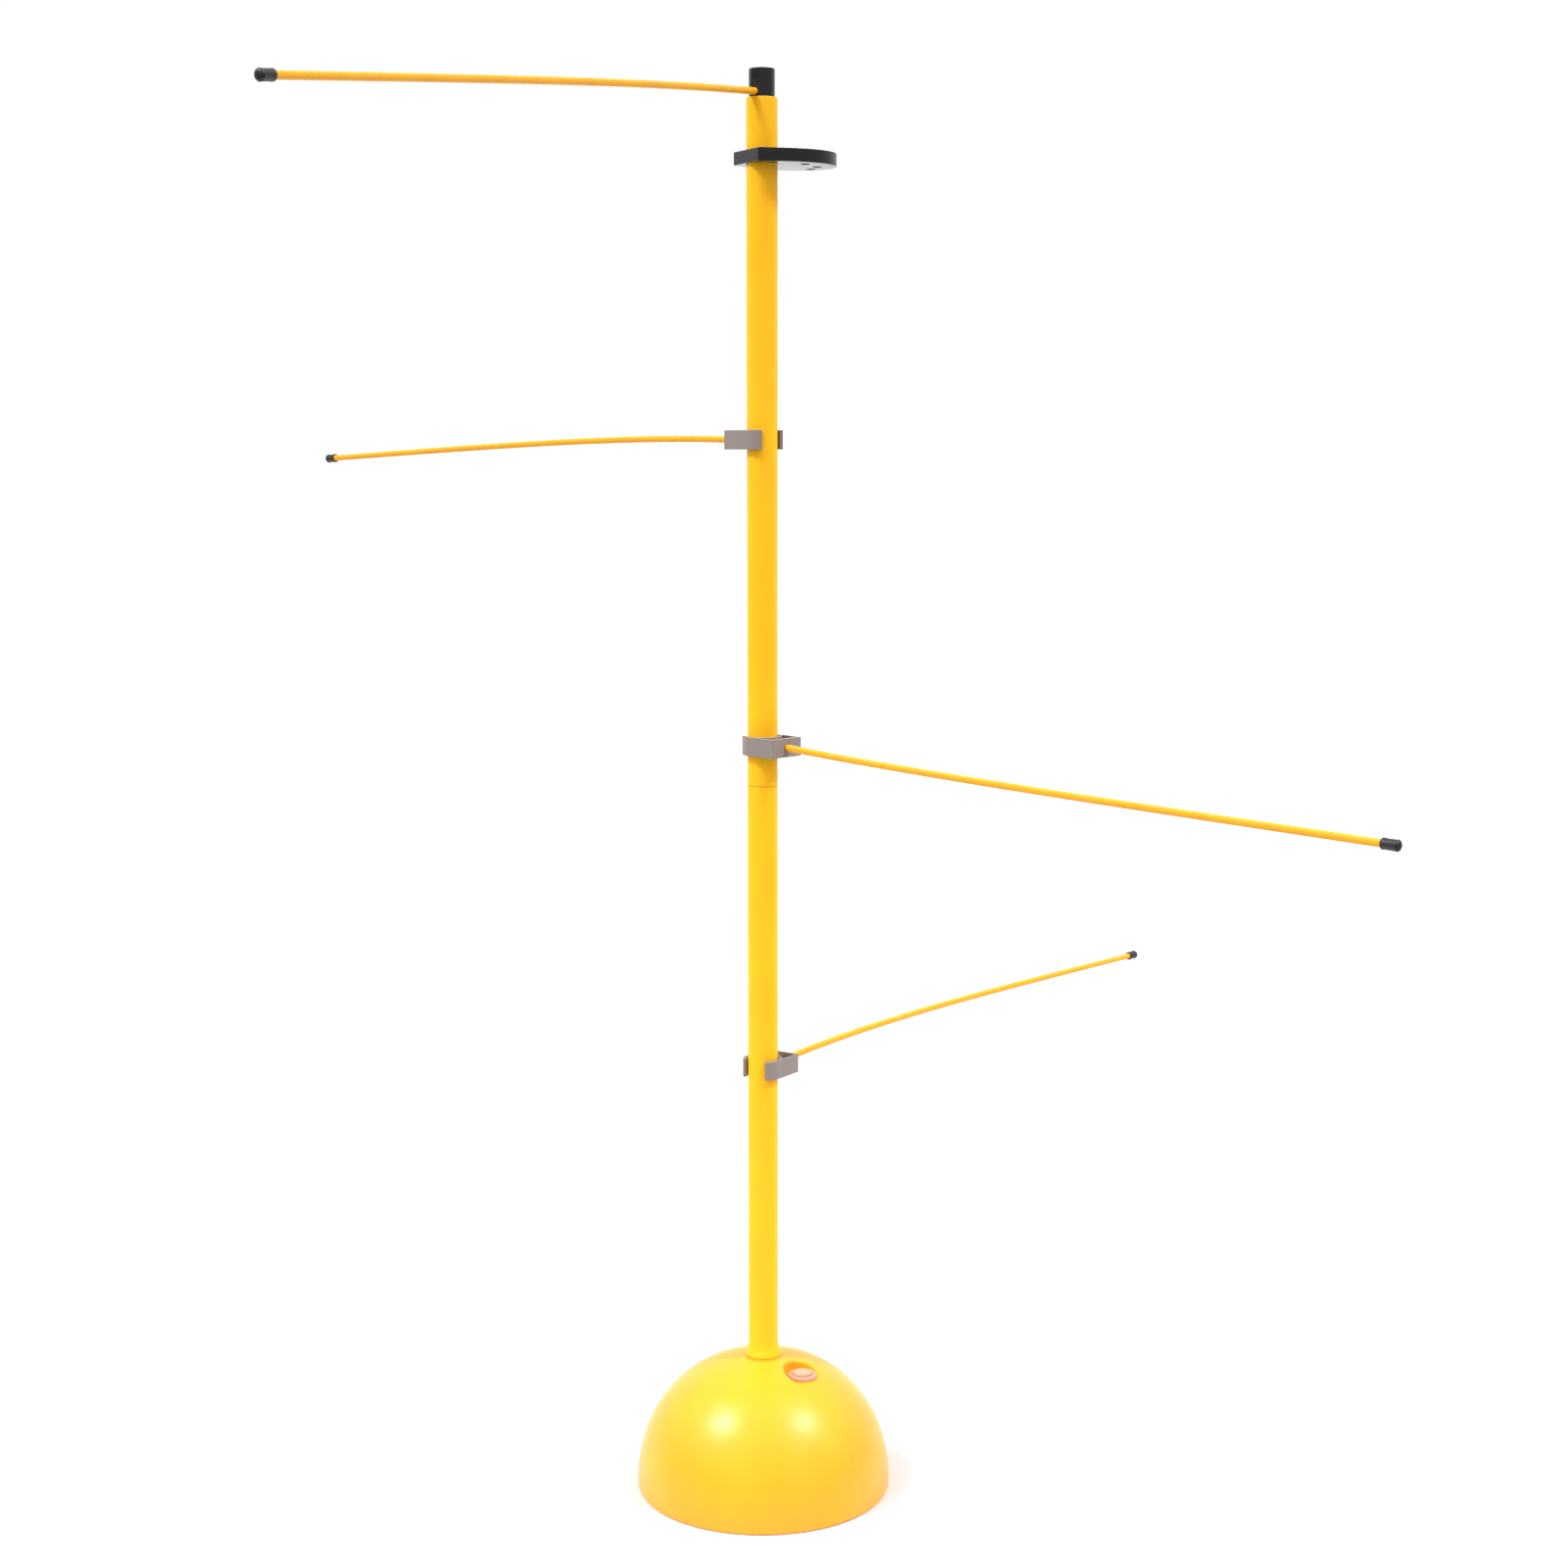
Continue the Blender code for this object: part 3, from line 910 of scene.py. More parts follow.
@dataclass
class DomeShape:
    """The dome's outer or inner skin, with its pole well and its filler recess."""

    radius: float
    height: float
    seat_radius: float
    recess_radius: float
    recess_floor: float
    rim: float
    rows_in: list[Point]
    rows_down: list[Point]
    straight: float = 4.5 * MM
    side_power: float = 0.98
    top_power: float = 0.917
    recess_x: float = FILLER_X
    recess_y: float = FILLER_Y
    hole: float = 11.2 * MM
    patch: float = 6.5 * MM
    fillet: float = 0.8 * MM
    lean: float = 0.5 * MM
    blend: float = 0.5 * MM
    steps: int = 200
    rings: int = 54
    patch_steps: int = 160

    def angle_at(self, radius: float) -> float:
        """The profile angle at a distance from the pole's axis."""
        return math.asin(min(1.0, (radius / self.radius) ** (1 / self.side_power)))

    def level(self, x: float, y: float) -> float:
        """The undisturbed dome's height over a point.

        Args:
            x: The point's X.
            y: The point's Y.

        Returns:
            The height.
        """
        rise = math.cos(self.angle_at(math.hypot(x, y)))
        return self.straight + (self.height - self.straight) * max(0.0, rise) ** self.top_power

    def recess_rows(self) -> list[tuple[float, Callable[[float], float]]]:
        """The recess from its hole outwards.

        Returns:
            A distance for each row, and a rule from the dome's height to the row's.
        """
        floor = self.recess_floor
        low = floor + self.fillet
        wall = self.recess_radius

        def climb(share: float) -> Callable[[float], float]:
            """The rule for a share of the way up the recess wall."""
            return lambda dome: low + (max(dome - self.rim, low) - low) * share

        def roll(share: float) -> Callable[[float], float]:
            """The rule round the rolled edge, which fades out where the recess does."""
            return lambda dome: dome - share * min(self.rim, max(0.0, dome - floor))

        rows: list[tuple[float, Callable[[float], float]]] = []
        for share in (0.0, 0.15, 0.5, 0.85):
            distance = self.hole + (wall - self.fillet - self.hole) * share
            rows.append((distance, lambda dome: floor))
        for turn in quarter(4):
            rise = self.fillet * (1 - math.cos(turn))
            distance = wall - self.fillet * (1 - math.sin(turn))
            rows.append((distance, lambda dome, rise=rise: floor + rise))
        for k in range(1, 6):
            rows.append((wall + self.lean * (k / 5), climb(k / 5)))
        for turn in quarter(6)[1:]:
            distance = wall + self.lean + self.rim * (1 - math.cos(turn))
            rows.append((distance, roll(1 - math.sin(turn))))
        last = rows[-1][0]
        left = wall + self.patch - last
        rows += [(last + left * k / 4, lambda dome: dome) for k in range(1, 5)]
        return rows

    @staticmethod
    def lower_of(first: float, second: float, blend: float) -> float:
        """The lower of two heights, with a soft corner where they cross."""
        near = max(blend - abs(first - second), 0.0) / blend
        return min(first, second) - near * near * blend / 4

    def skin(self, draft: Draft) -> list[int]:
        """Add the whole skin to a draft.

        Args:
            draft: Where the points and faces go.

        Returns:
            The ring at the filler hole.
        """
        patch_rings = []
        for distance, rule in self.recess_rows():
            points = []
            for x, y in circle_points(distance, self.patch_steps, (self.recess_x, self.recess_y)):
                dome = self.level(x, y)
                wanted = rule(dome)
                z = dome if wanted == dome else self.lower_of(wanted, dome, self.blend)
                points.append((x, y, z))
            patch_rings.append(draft.add(points))
        for first, second in zip(patch_rings, patch_rings[1:]):
            draft.bridge(first, second)

        clear = self.recess_radius + self.patch + 1.2 * MM
        start = self.angle_at(self.seat_radius)
        loops: list[list[int]] = [patch_rings[-1]]
        field_points: list[int] = []
        for i in range(self.rings + 1):
            angle = start + (math.pi / 2 - start) * i / self.rings
            ring_radius = self.radius * math.sin(angle) ** self.side_power
            around = circle_points(ring_radius, self.steps)
            kept = [
                (x, y, self.level(x, y))
                for x, y in around
                if i in (0, self.rings) or math.hypot(x - self.recess_x, y - self.recess_y) > clear
            ]
            ring = draft.add(kept)
            if i in (0, self.rings):
                loops.append(ring)
            else:
                field_points.extend(ring)
        self._fill(draft, loops, field_points)

        for ring, rows in ((loops[1], self.rows_in), (loops[2], self.rows_down)):
            for radius, z in rows:
                following = draft.ring(radius, z, self.steps)
                draft.bridge(ring, following)
                ring = following
            if len(ring) > 1:
                loops.append(ring)
        if len(loops) == 5:
            draft.bridge(loops[3], loops[4])
        return patch_rings[0]

    def _fill(self, draft: Draft, loops: Sequence[Sequence[int]], inside: Sequence[int]) -> None:
        """Triangulate the dome between its three closed loops.

        Args:
            draft: The draft that holds the points.
            loops: The patch, the seat and the widest ring.
            inside: The points in between.
        """
        order = [i for loop in loops for i in loop] + list(inside)
        flat = []
        for i in order:
            x, y, _ = draft.points[i]
            reach = math.hypot(x, y)
            spread = self.angle_at(reach) / reach
            flat.append(Vector((x * spread, y * spread)))
        edges = []
        first = 0
        for loop in loops:
            count = len(loop)
            edges += [(first + k, first + (k + 1) % count) for k in range(count)]
            first += count
        _, _, faces, sources, _, _ = delaunay_2d_cdt(flat, edges, [], 0, 1e-9)
        holes = [set(loops[0]), set(loops[1])]
        for face in faces:
            corners = [order[sources[k][0]] for k in face]
            if not any(all(c in hole for c in corners) for hole in holes):
                draft.faces.append(tuple(corners))


@dataclass
class Base:
    """The hollow dome, with its pole well and its filler recess."""

    radius: float = 136.9 * MM
    height: float = 145.6 * MM
    wall: float = 3.2 * MM
    edge: float = 2.2 * MM
    seat_radius: float = 21 * MM
    seat_z: float = 144.9 * MM
    well_radius: float = 16.4 * MM
    well_floor: float = 12 * MM
    recess_radius: float = 20 * MM
    recess_floor: float = 130 * MM
    straight: float = 4.5 * MM

    def outer(self) -> DomeShape:
        """The outer skin.

        Returns:
            Its shape.
        """
        lip = 0.6 * MM
        well = filleted([
            ((self.seat_radius, self.seat_z), 0.0),
            ((self.well_radius, self.seat_z), lip),
            ((self.well_radius, self.well_floor), lip),
            ((0.0, self.well_floor), 0.0),
        ])
        side = (self.radius, self.straight)
        foot = filleted([(side, 0.0), ((self.radius, 0.0), self.edge), ((0.0, 0.0), 0.0)], 6)
        return DomeShape(
            self.radius, self.height, self.seat_radius, self.recess_radius, self.recess_floor,
            2.4 * MM, well, foot[1:],
        )

    def inner(self) -> DomeShape:
        """The inner skin, one wall's thickness in.

        Returns:
            Its shape.
        """
        tube = self.well_radius + self.wall
        side = self.radius - self.wall
        return DomeShape(
            side, self.height - self.wall, self.seat_radius, self.recess_radius + self.wall,
            self.recess_floor - self.wall, 1.0 * MM,
            [(tube, self.seat_z - self.wall - 2 * MM), (tube, self.wall)],
            [(side, self.wall)], patch=2.2 * MM,
        )

    def build(self, fitter: Fitter) -> None:
        """Build and fit the base.

        Args:
            fitter: Sets the pieces into the frame.
        """
        draft = Draft()
        outside = self.outer().skin(draft)
        inside = self.inner().skin(draft)
        draft.bridge(outside, inside)
        shell = draft.make("base_dome")
        fitter.fit(shell, "base", Slot.BASE, "base_shell")


@dataclass
class FillerPlug:
    """The soft bung that closes the filler hole, with a lip, a groove and a dished grip."""

    bottom: float = 130.3 * MM
    flange: float = 15 * MM
    flange_height: float = 4.2 * MM
    knob: float = 10.2 * MM
    knob_height: float = 1.8 * MM
    neck: float = 10.6 * MM
    neck_length: float = 14 * MM
    bore: float = 8 * MM
    steps: int = 120

    def build(self, fitter: Fitter) -> None:
        """Build and fit the plug.

        Args:
            fitter: Sets the pieces into the frame.
        """
        rim = self.bottom + self.flange_height
        top = rim + self.knob_height
        groove = rim - 1.1 * MM
        end = self.bottom - self.neck_length
        corners = [
            ((0.0, top - 0.9 * MM), 0.0),
            ((self.knob - 3.4 * MM, top - 0.7 * MM), 2.0 * MM),
            ((self.knob - 1.6 * MM, top), 0.9 * MM),
            ((self.knob, top), 0.9 * MM),
            ((self.knob, groove), 0.35 * MM),
            ((self.knob + 1.9 * MM, groove), 0.5 * MM),
            ((self.knob + 2.5 * MM, rim), 0.5 * MM),
            ((self.flange, rim), 1.6 * MM),
            ((self.flange, self.bottom), 0.5 * MM),
            ((self.neck, self.bottom), 0.4 * MM),
            ((self.neck, self.bottom - 4.0 * MM), 0.3 * MM),
            ((self.neck - 0.7 * MM, self.bottom - 4.9 * MM), 0.3 * MM),
            ((self.neck - 0.7 * MM, self.bottom - 7.0 * MM), 0.3 * MM),
            ((self.neck, self.bottom - 7.9 * MM), 0.3 * MM),
            ((self.neck - 0.4 * MM, end), 1.0 * MM),
            ((self.bore, end), 0.6 * MM),
            ((self.bore, self.bottom), 1.2 * MM),
            ((0.0, self.bottom), 0.0),
        ]
        profile = filleted(corners)
        plug = turned("filler_bung", profile, self.steps)
        plug.location = (FILLER_X, FILLER_Y, 0.0)
        fitter.fit(plug, "filler_plug", Slot.BUNG, "filler_plug")


# ---------------------------------------------------------------- the pole


@dataclass
class Pole:
    """Two tubes joined over an inner sleeve, the lower one swaged out to a foot."""

    radius: float = 16 * MM
    bore: float = 13.6 * MM
    seam: float = 769.4 * MM
    top: float = 1472.8 * MM
    bottom: float = 13 * MM
    foot_radius: float = 18.9 * MM
    foot_z: float = 145.2 * MM
    foot_height: float = 19 * MM
    sleeve_half: float = 60 * MM
    sleeve_wall: float = 2 * MM
    lip: float = 0.8 * MM
    lip_reach: float = 4 * MM
    mouth_reach: float = 6 * MM
    flare_share: float = 0.88
    flare_rows: int = 16
    steps: int = 120
    rows: int = 24

    def shaft(self, start: float, end: float) -> list[Point]:
        """Evenly spaced points down the outside of a tube, with both ends left out.

        Args:
            start: The upper height.
            end: The lower height.

        Returns:
            The points.
        """
        return [(self.radius, start + (end - start) * i / self.rows) for i in range(1, self.rows)]

    def lower(self) -> bpy.types.Object:
        """The lower tube.

        Returns:
            The object.
        """
        start = self.seam - self.lip_reach
        top = [((self.bore, self.seam), 0.0), ((self.radius, self.seam), self.lip)]
        top = filleted([*top, ((self.radius, start), 0.0)])
        flare_top = self.foot_z + self.foot_height
        profile = top + self.shaft(start, flare_top)
        for i in range(self.flare_rows + 1):
            fall = i / self.flare_rows * self.flare_share
            spread = (self.foot_radius - self.radius) * fall * fall / self.flare_share**2
            profile.append((self.radius + spread, flare_top - self.foot_height * fall))
        corners = [
            ((self.foot_radius, self.foot_z + self.foot_height * 0.12), 0.0),
            ((self.foot_radius, self.foot_z), 0.5 * MM),
            ((self.radius, self.foot_z), 0.3 * MM),
            ((self.radius, self.bottom), 0.5 * MM),
            ((self.bore, self.bottom), 0.0),
        ]
        profile += filleted(corners)[1:]
        return turned("pole_lower_tube", profile, self.steps, closed=True)

    def upper(self) -> bpy.types.Object:
        """The upper tube, with a rounded mouth.

        Returns:
            The object.
        """
        foot = self.seam + GAP
        below = self.top - self.mouth_reach
        mouth = [
            ((self.bore, below), 0.0),
            ((self.bore, self.top), 0.5 * MM),
            ((self.radius, self.top), 0.6 * MM),
            ((self.radius, below), 0.0),
        ]
        end = foot + self.lip_reach
        profile = filleted(mouth, 6) + self.shaft(below, end)
        corners = [((self.radius, end), 0.0), ((self.radius, foot), self.lip)]
        profile += filleted([*corners, ((self.bore, foot), 0.0)])
        return turned("pole_upper_tube", profile, self.steps, closed=True)

    def sleeve(self) -> bpy.types.Object:
        """The sleeve inside the joint, with lead-in chamfers and a middle bead line.

        Returns:
            The object.
        """
        outer = self.bore - GAP
        inner = outer - self.sleeve_wall
        high = self.seam + self.sleeve_half
        low = self.seam - self.sleeve_half
        groove = 0.4 * MM
        corners = [
            ((inner, high), 0.4 * MM),
            ((outer - 0.8 * MM, high), 0.3 * MM),
            ((outer, high - 2.5 * MM), 0.5 * MM),
            ((outer, self.seam + 1.2 * MM), 0.2 * MM),
            ((outer - groove, self.seam + 0.6 * MM), 0.2 * MM),
            ((outer - groove, self.seam - 0.6 * MM), 0.2 * MM),
            ((outer, self.seam - 1.2 * MM), 0.2 * MM),
            ((outer, low + 2.5 * MM), 0.5 * MM),
            ((outer - 0.8 * MM, low), 0.3 * MM),
            ((inner, low), 0.4 * MM),
        ]
        profile = filleted(corners, 4, closed=True)
        return turned("pole_sleeve", profile, self.steps, closed=True)

    def build(self, fitter: Fitter) -> None:
        """Build and fit the pole.

        Args:
            fitter: Sets the pieces into the frame.
        """
        fitter.fit(self.lower(), "lower_pole", Slot.POLE, "lower_pole")
        fitter.fit(self.upper(), "upper_pole", Slot.POLE, "upper_pole")
        fitter.fit(self.sleeve(), "lower_pole", Slot.LINER, "pole_coupler")


# ---------------------------------------------------------------- arms and what holds them


@dataclass(frozen=True)
class ArmPose:
    """Where one arm's root axis runs, and how its bow is turned about it."""

    key: str
    azimuth: float
    tilt: float
    roll: float
    height: float
    start: float
    gauge: float = 20 * MM

    def frame(self) -> Matrix:
        """The root's own frame, with X out along the arm.

        Returns:
            The matrix, whose origin is on the pole's axis.
        """
        z = self.height - self.gauge * math.tan(math.radians(self.tilt))
        turn = Matrix.Rotation(math.radians(self.azimuth), 4, "Z")
        tilt = Matrix.Rotation(-math.radians(self.tilt), 4, "Y")
        roll = Matrix.Rotation(math.radians(self.roll), 4, "X")
        return Matrix.Translation((0.0, 0.0, z)) @ turn @ tilt @ roll

    def rod_frame(self) -> Matrix:
        """The frame at the rod's inner end."""
        along = self.start / math.cos(math.radians(self.tilt))
        return self.frame() @ Matrix.Translation((along, 0.0, 0.0))

    def height_at(self, reach: float) -> float:
        """The root axis's height at a distance from the pole's axis."""
        return self.height + (reach - self.gauge) * math.tan(math.radians(self.tilt))


@dataclass
class Arm:
    """One bowed rod with a soft cap on its tip."""

    pose: ArmPose
    radius: float = 3.65 * MM
    length: float = 755 * MM
    straight: float = 30 * MM
    bow: float = 54 * MM
    cap_radius: float = 5.2 * MM
    cap_bore: float = ROD_HOLE
    cap_length: float = 17 * MM
    cap_end: float = 1.8 * MM
    cap_sides: int = 56
    sides: int = 28
    rings: int = 110

    def bow_at(self, distance: float) -> float:
        """How far the rod has bowed at a distance from its inner end."""
        share = max(0.0, distance - self.straight) / (self.length - self.straight)
        return self.bow * (share**4 - 4 * share**3 + 6 * share**2) / 3

    def rod(self) -> bpy.types.Object:
        """The rod, swept along its bow with softened ends.

        Returns:
            The object, placed in the frame.
        """
        draft = Draft()
        soft = 0.7 * MM
        step = 0.5 * MM
        stations = [
            (soft * (1 - math.cos(turn)), self.radius - soft + soft * math.sin(turn))
            for turn in quarter(4)
        ]
        even = self.length - 2 * soft
        stations += [(soft + even * i / self.rings, self.radius) for i in range(1, self.rings + 1)]
        stations += [(self.length - reach, radius) for reach, radius in reversed(stations[:4])]
        rings = []
        for distance, radius in stations:
            down = self.bow_at(distance)
            rise = self.bow_at(distance + step) - self.bow_at(distance - step)
            slope = math.atan2(rise, 2 * step)
            rings.append(draft.add([
                (distance + up * math.sin(slope), y, -down + up * math.cos(slope))
                for y, up in circle_points(radius, self.sides)
            ]))
        for first, second in zip(rings, rings[1:]):
            draft.bridge(first, second)
        draft.bridge(draft.add([(0.0, 0.0, 0.0)]), rings[0])
        draft.bridge(rings[-1], draft.add([(self.length, 0.0, -self.bow_at(self.length))]))
        rod = draft.make(f"arm_{self.pose.key}_rod")
        rod.matrix_world = self.pose.rod_frame()
        return rod

    def cap(self) -> bpy.types.Object:
        """The soft cap, with a rolled mouth and a domed end.

        Returns:
            The object, placed in the frame.
        """
        mouth = self.cap_end - self.cap_length
        corners = [
            ((0.0, self.cap_end), 0.0),
            ((self.cap_radius - 0.9 * MM, self.cap_end - 0.05 * MM), 4.0 * MM),
            ((self.cap_radius - 0.15 * MM, self.cap_end - 1.7 * MM), 1.2 * MM),
            ((self.cap_radius - 0.25 * MM, mouth + 3.2 * MM), 0.5 * MM),
            ((self.cap_radius, mouth + 2.4 * MM), 0.4 * MM),
            ((self.cap_radius, mouth), 0.5 * MM),
            ((self.cap_bore, mouth), 0.3 * MM),
            ((self.cap_bore, GAP), 0.4 * MM),
            ((0.0, GAP), 0.0),
        ]
        profile = filleted(corners)
        cap = turned(f"arm_{self.pose.key}_cap", profile, self.cap_sides)
        reach = 40 * MM
        slope = math.atan2(self.bow_at(self.length) - self.bow_at(self.length - reach), reach)
        tip = Matrix.Translation((self.length, 0.0, -self.bow_at(self.length)))
        turn = Matrix.Rotation(math.pi / 2 + slope, 4, "Y")
        cap.matrix_world = self.pose.rod_frame() @ tip @ turn
        return cap

    def build(self, fitter: Fitter) -> None:
        """Build and fit the arm.

        Args:
            fitter: Sets the pieces into the frame.
        """
        key = self.pose.key
        fitter.fit(self.rod(), f"arm_{key}", Slot.ROD, f"rod_{key}")
        fitter.fit(self.cap(), f"arm_{key}", Slot.CAP, f"rod_cap_{key}")


@dataclass
class Clip:
    """A spring clip: round jaws with a grip liner, straight sides and a drilled end wall."""

    pose: ArmPose
    height: float = 20 * MM
    half_width: float = 21.5 * MM
    reach: float = 36 * MM
    jaw_bore: float = 17.5 * MM
    back_radius: float = 20.5 * MM
    wall: float = 3 * MM
    end_wall: float = 3.8 * MM
    jaw_angle: float = 138.0
    liner_inner: float = 16.3 * MM
    liner_outer: float = 17.2 * MM
    liner_height: float = 19 * MM
    liner_angle: float = 132.0
    edge: float = 0.55 * MM
    tip: float = 1.3 * MM
    end_corner: float = 1.1 * MM
    tip_clear: float = 1.6 * MM
    drill_length: float = 11 * MM
    side_points: int = 22
    bore_points: int = 72
    back_points: int = 30
    liner_points: int = 96

    def outline(self) -> list[Point]:
        """The clip seen from above, anticlockwise.

        Returns:
            The outline.
        """
        jaw = self.jaw_angle
        outer = arc_points(self.half_width, -jaw, -90.0, self.side_points)
        ends = [(self.reach, -self.half_width), (self.reach, self.half_width)]
        far = arc_points(self.half_width, 90.0, jaw, self.side_points)
        bore = arc_points(self.jaw_bore, jaw, -jaw, self.bore_points)
        radii = [0.0] * (len(outer) + len(ends) + len(far) + len(bore))
        turning = len(outer) + len(ends) + len(far)
        for i in (0, turning - 1, turning, -1):
            radii[i] = self.tip
        for i in (len(outer), len(outer) + 1):
            radii[i] = self.end_corner
        corners = list(zip(outer + ends + far + bore, radii))
        sharp = [Vector(corner) for corner, radius in corners if radius > 0]
        kept = [
            (corner, radius)
            for corner, radius in corners
            if radius > 0 or min((Vector(corner) - s).length for s in sharp) > self.tip_clear
        ]
        return filleted(kept, 6, closed=True)

    def pocket(self) -> list[Point]:
        """The pocket between the jaws and the end wall, clockwise.

        Returns:
            The outline.
        """
        side = self.half_width - self.wall
        back = math.sqrt(self.back_radius**2 - side**2)
        spread = math.degrees(math.atan2(side, back))
        inner_end = self.reach - self.end_wall
        arc = arc_points(self.back_radius, -spread, spread, self.back_points)
        corners = arc + [(inner_end, side), (inner_end, -side)]
        radii = [0.5 * MM] + [0.0] * (len(arc) - 2) + [0.5 * MM, 1.4 * MM, 1.4 * MM]
        return filleted(list(zip(corners, radii)), closed=True)

    def place(self, height: float) -> Matrix:
        """Where a slab of this height sits so that it is centred on the arm's hole.

        Args:
            height: The slab's thickness.

        Returns:
            The matrix.
        """
        middle = self.pose.height_at(self.reach - self.end_wall / 2)
        turn = Matrix.Rotation(math.radians(self.pose.azimuth), 4, "Z")
        return Matrix.Translation((0.0, 0.0, middle - height / 2)) @ turn

    def clip(self) -> bpy.types.Object:
        """The clip itself.

        Returns:
            The object, placed in the frame.
        """
        name = f"arm_{self.pose.key}_clip"
        body = slab(name, [self.outline(), self.pocket()], self.height, self.edge)
        body.matrix_world = self.place(self.height)
        along = self.reach - self.end_wall / 2
        drill = self.pose.frame() @ Matrix.Translation((along, 0.0, 0.0))
        return evened(drilled(body, ROD_HOLE, self.drill_length, drill))

    def liner(self) -> bpy.types.Object:
        """The grip liner.

        Returns:
            The object, placed in the frame.
        """
        angle = self.liner_angle
        outline = arc_points(self.liner_outer, -angle, angle, self.liner_points)
        outline += arc_points(self.liner_inner, angle, -angle, self.liner_points)
        liner = slab(f"arm_{self.pose.key}_liner", [outline], self.liner_height, 0.2 * MM, 3)
        liner.matrix_world = self.place(self.liner_height)
        return evened(liner)

    def build(self, fitter: Fitter) -> None:
        """Build and fit the clip.

        Args:
            fitter: Sets the pieces into the frame.
        """
        key = self.pose.key
        fitter.fit(self.clip(), f"clip_{key}", Slot.CLIP, f"arm_clip_{key}")
        fitter.fit(self.liner(), f"clip_slider_{key}", Slot.LINER, f"clip_liner_{key}")


@dataclass
class TopPlug:
    """The stopper in the pole's mouth, drilled across for the first arm."""

    pose: ArmPose
    radius: float = 13.3 * MM
    top: float = 1501.8 * MM
    bottom: float = 1434.8 * MM
    drill_length: float = 54 * MM
    steps: int = 112

    def build(self, fitter: Fitter) -> None:
        """Build and fit the plug.

        Args:
            fitter: Sets the pieces into the frame.
        """
        corners = [
            ((0.0, self.top), 0.0),
            ((self.radius * 0.6, self.top - 0.1 * MM), 20 * MM),
            ((self.radius, self.top - 0.3 * MM), 1.0 * MM),
            ((self.radius, self.bottom + 2.5 * MM), 1.0 * MM),
            ((self.radius - 1.2 * MM, self.bottom), 0.6 * MM),
            ((0.0, self.bottom), 0.0),
        ]
        profile = filleted(corners, 7)
        plug = turned("pole_stopper", profile, self.steps)
        plug = drilled(plug, ROD_HOLE, self.drill_length, self.pose.frame())
        fitter.fit(evened(plug), "top_plug", Slot.PLASTIC, "top_plug")


@dataclass
class StoragePlate:
    """The thick plate round the pole whose holes park the arms upright."""

    bottom: float = 1407.4 * MM
    thickness: float = 13.3 * MM
    azimuth: float = 30.0
    heel: float = 18.9 * MM
    heel_half: float = 27 * MM
    nose_centre: float = 33 * MM
    nose_length: float = 51 * MM
    nose_half: float = 39.6 * MM
    bore: float = 16.3 * MM
    hole: float = 4.9 * MM
    holes: list[tuple[float, float]] = field(
        default_factory=lambda: [(44 * MM, 0.0), (62 * MM, 24.0), (68 * MM, 42.0)]
    )
    corner: float = 4.0 * MM
    edge: float = 0.7 * MM

    def outline(self) -> list[Point]:
        """The plate seen from above, anticlockwise.

        Returns:
            The outline.
        """
        narrow = self.nose_half / self.nose_length
        away_x = -self.heel - self.nose_centre
        away_y = -self.heel_half / narrow
        past = math.acos(self.nose_length / math.hypot(away_x, away_y))
        tangent = math.degrees(math.atan2(away_y, away_x) + past)
        round_nose = arc_points(self.nose_length, tangent, -tangent, 90, (self.nose_centre, 0.0))
        corners = [((-self.heel, -self.heel_half), self.corner)]
        corners += [((x, y * narrow), 0.0) for x, y in round_nose]
        corners += [((-self.heel, self.heel_half), self.corner)]
        return filleted(corners, 7, closed=True)

    def build(self, fitter: Fitter) -> None:
        """Build and fit the plate.

        Args:
            fitter: Sets the pieces into the frame.
        """
        loops = [self.outline(), circle_points(self.bore, 96, clockwise=True)]
        for reach, azimuth in self.holes:
            turn = math.radians(azimuth - self.azimuth)
            centre = (reach * math.cos(turn), reach * math.sin(turn))
            loops.append(circle_points(self.hole, 40, centre, clockwise=True))
        plate = slab("arm_storage_plate", loops, self.thickness, self.edge)
        turn = Matrix.Rotation(math.radians(self.azimuth), 4, "Z")
        plate.matrix_world = Matrix.Translation((0.0, 0.0, self.bottom)) @ turn
        fitter.fit(evened(plate), "storage_plate", Slot.PLASTIC, "storage_plate")


# ---------------------------------------------------------------- the studio


LAMPS = (
    ("lamp_left", (-0.543, -0.22, 0.811), 1.04),
    ("lamp_right", (0.547, -0.213, 0.808), 0.82),
)


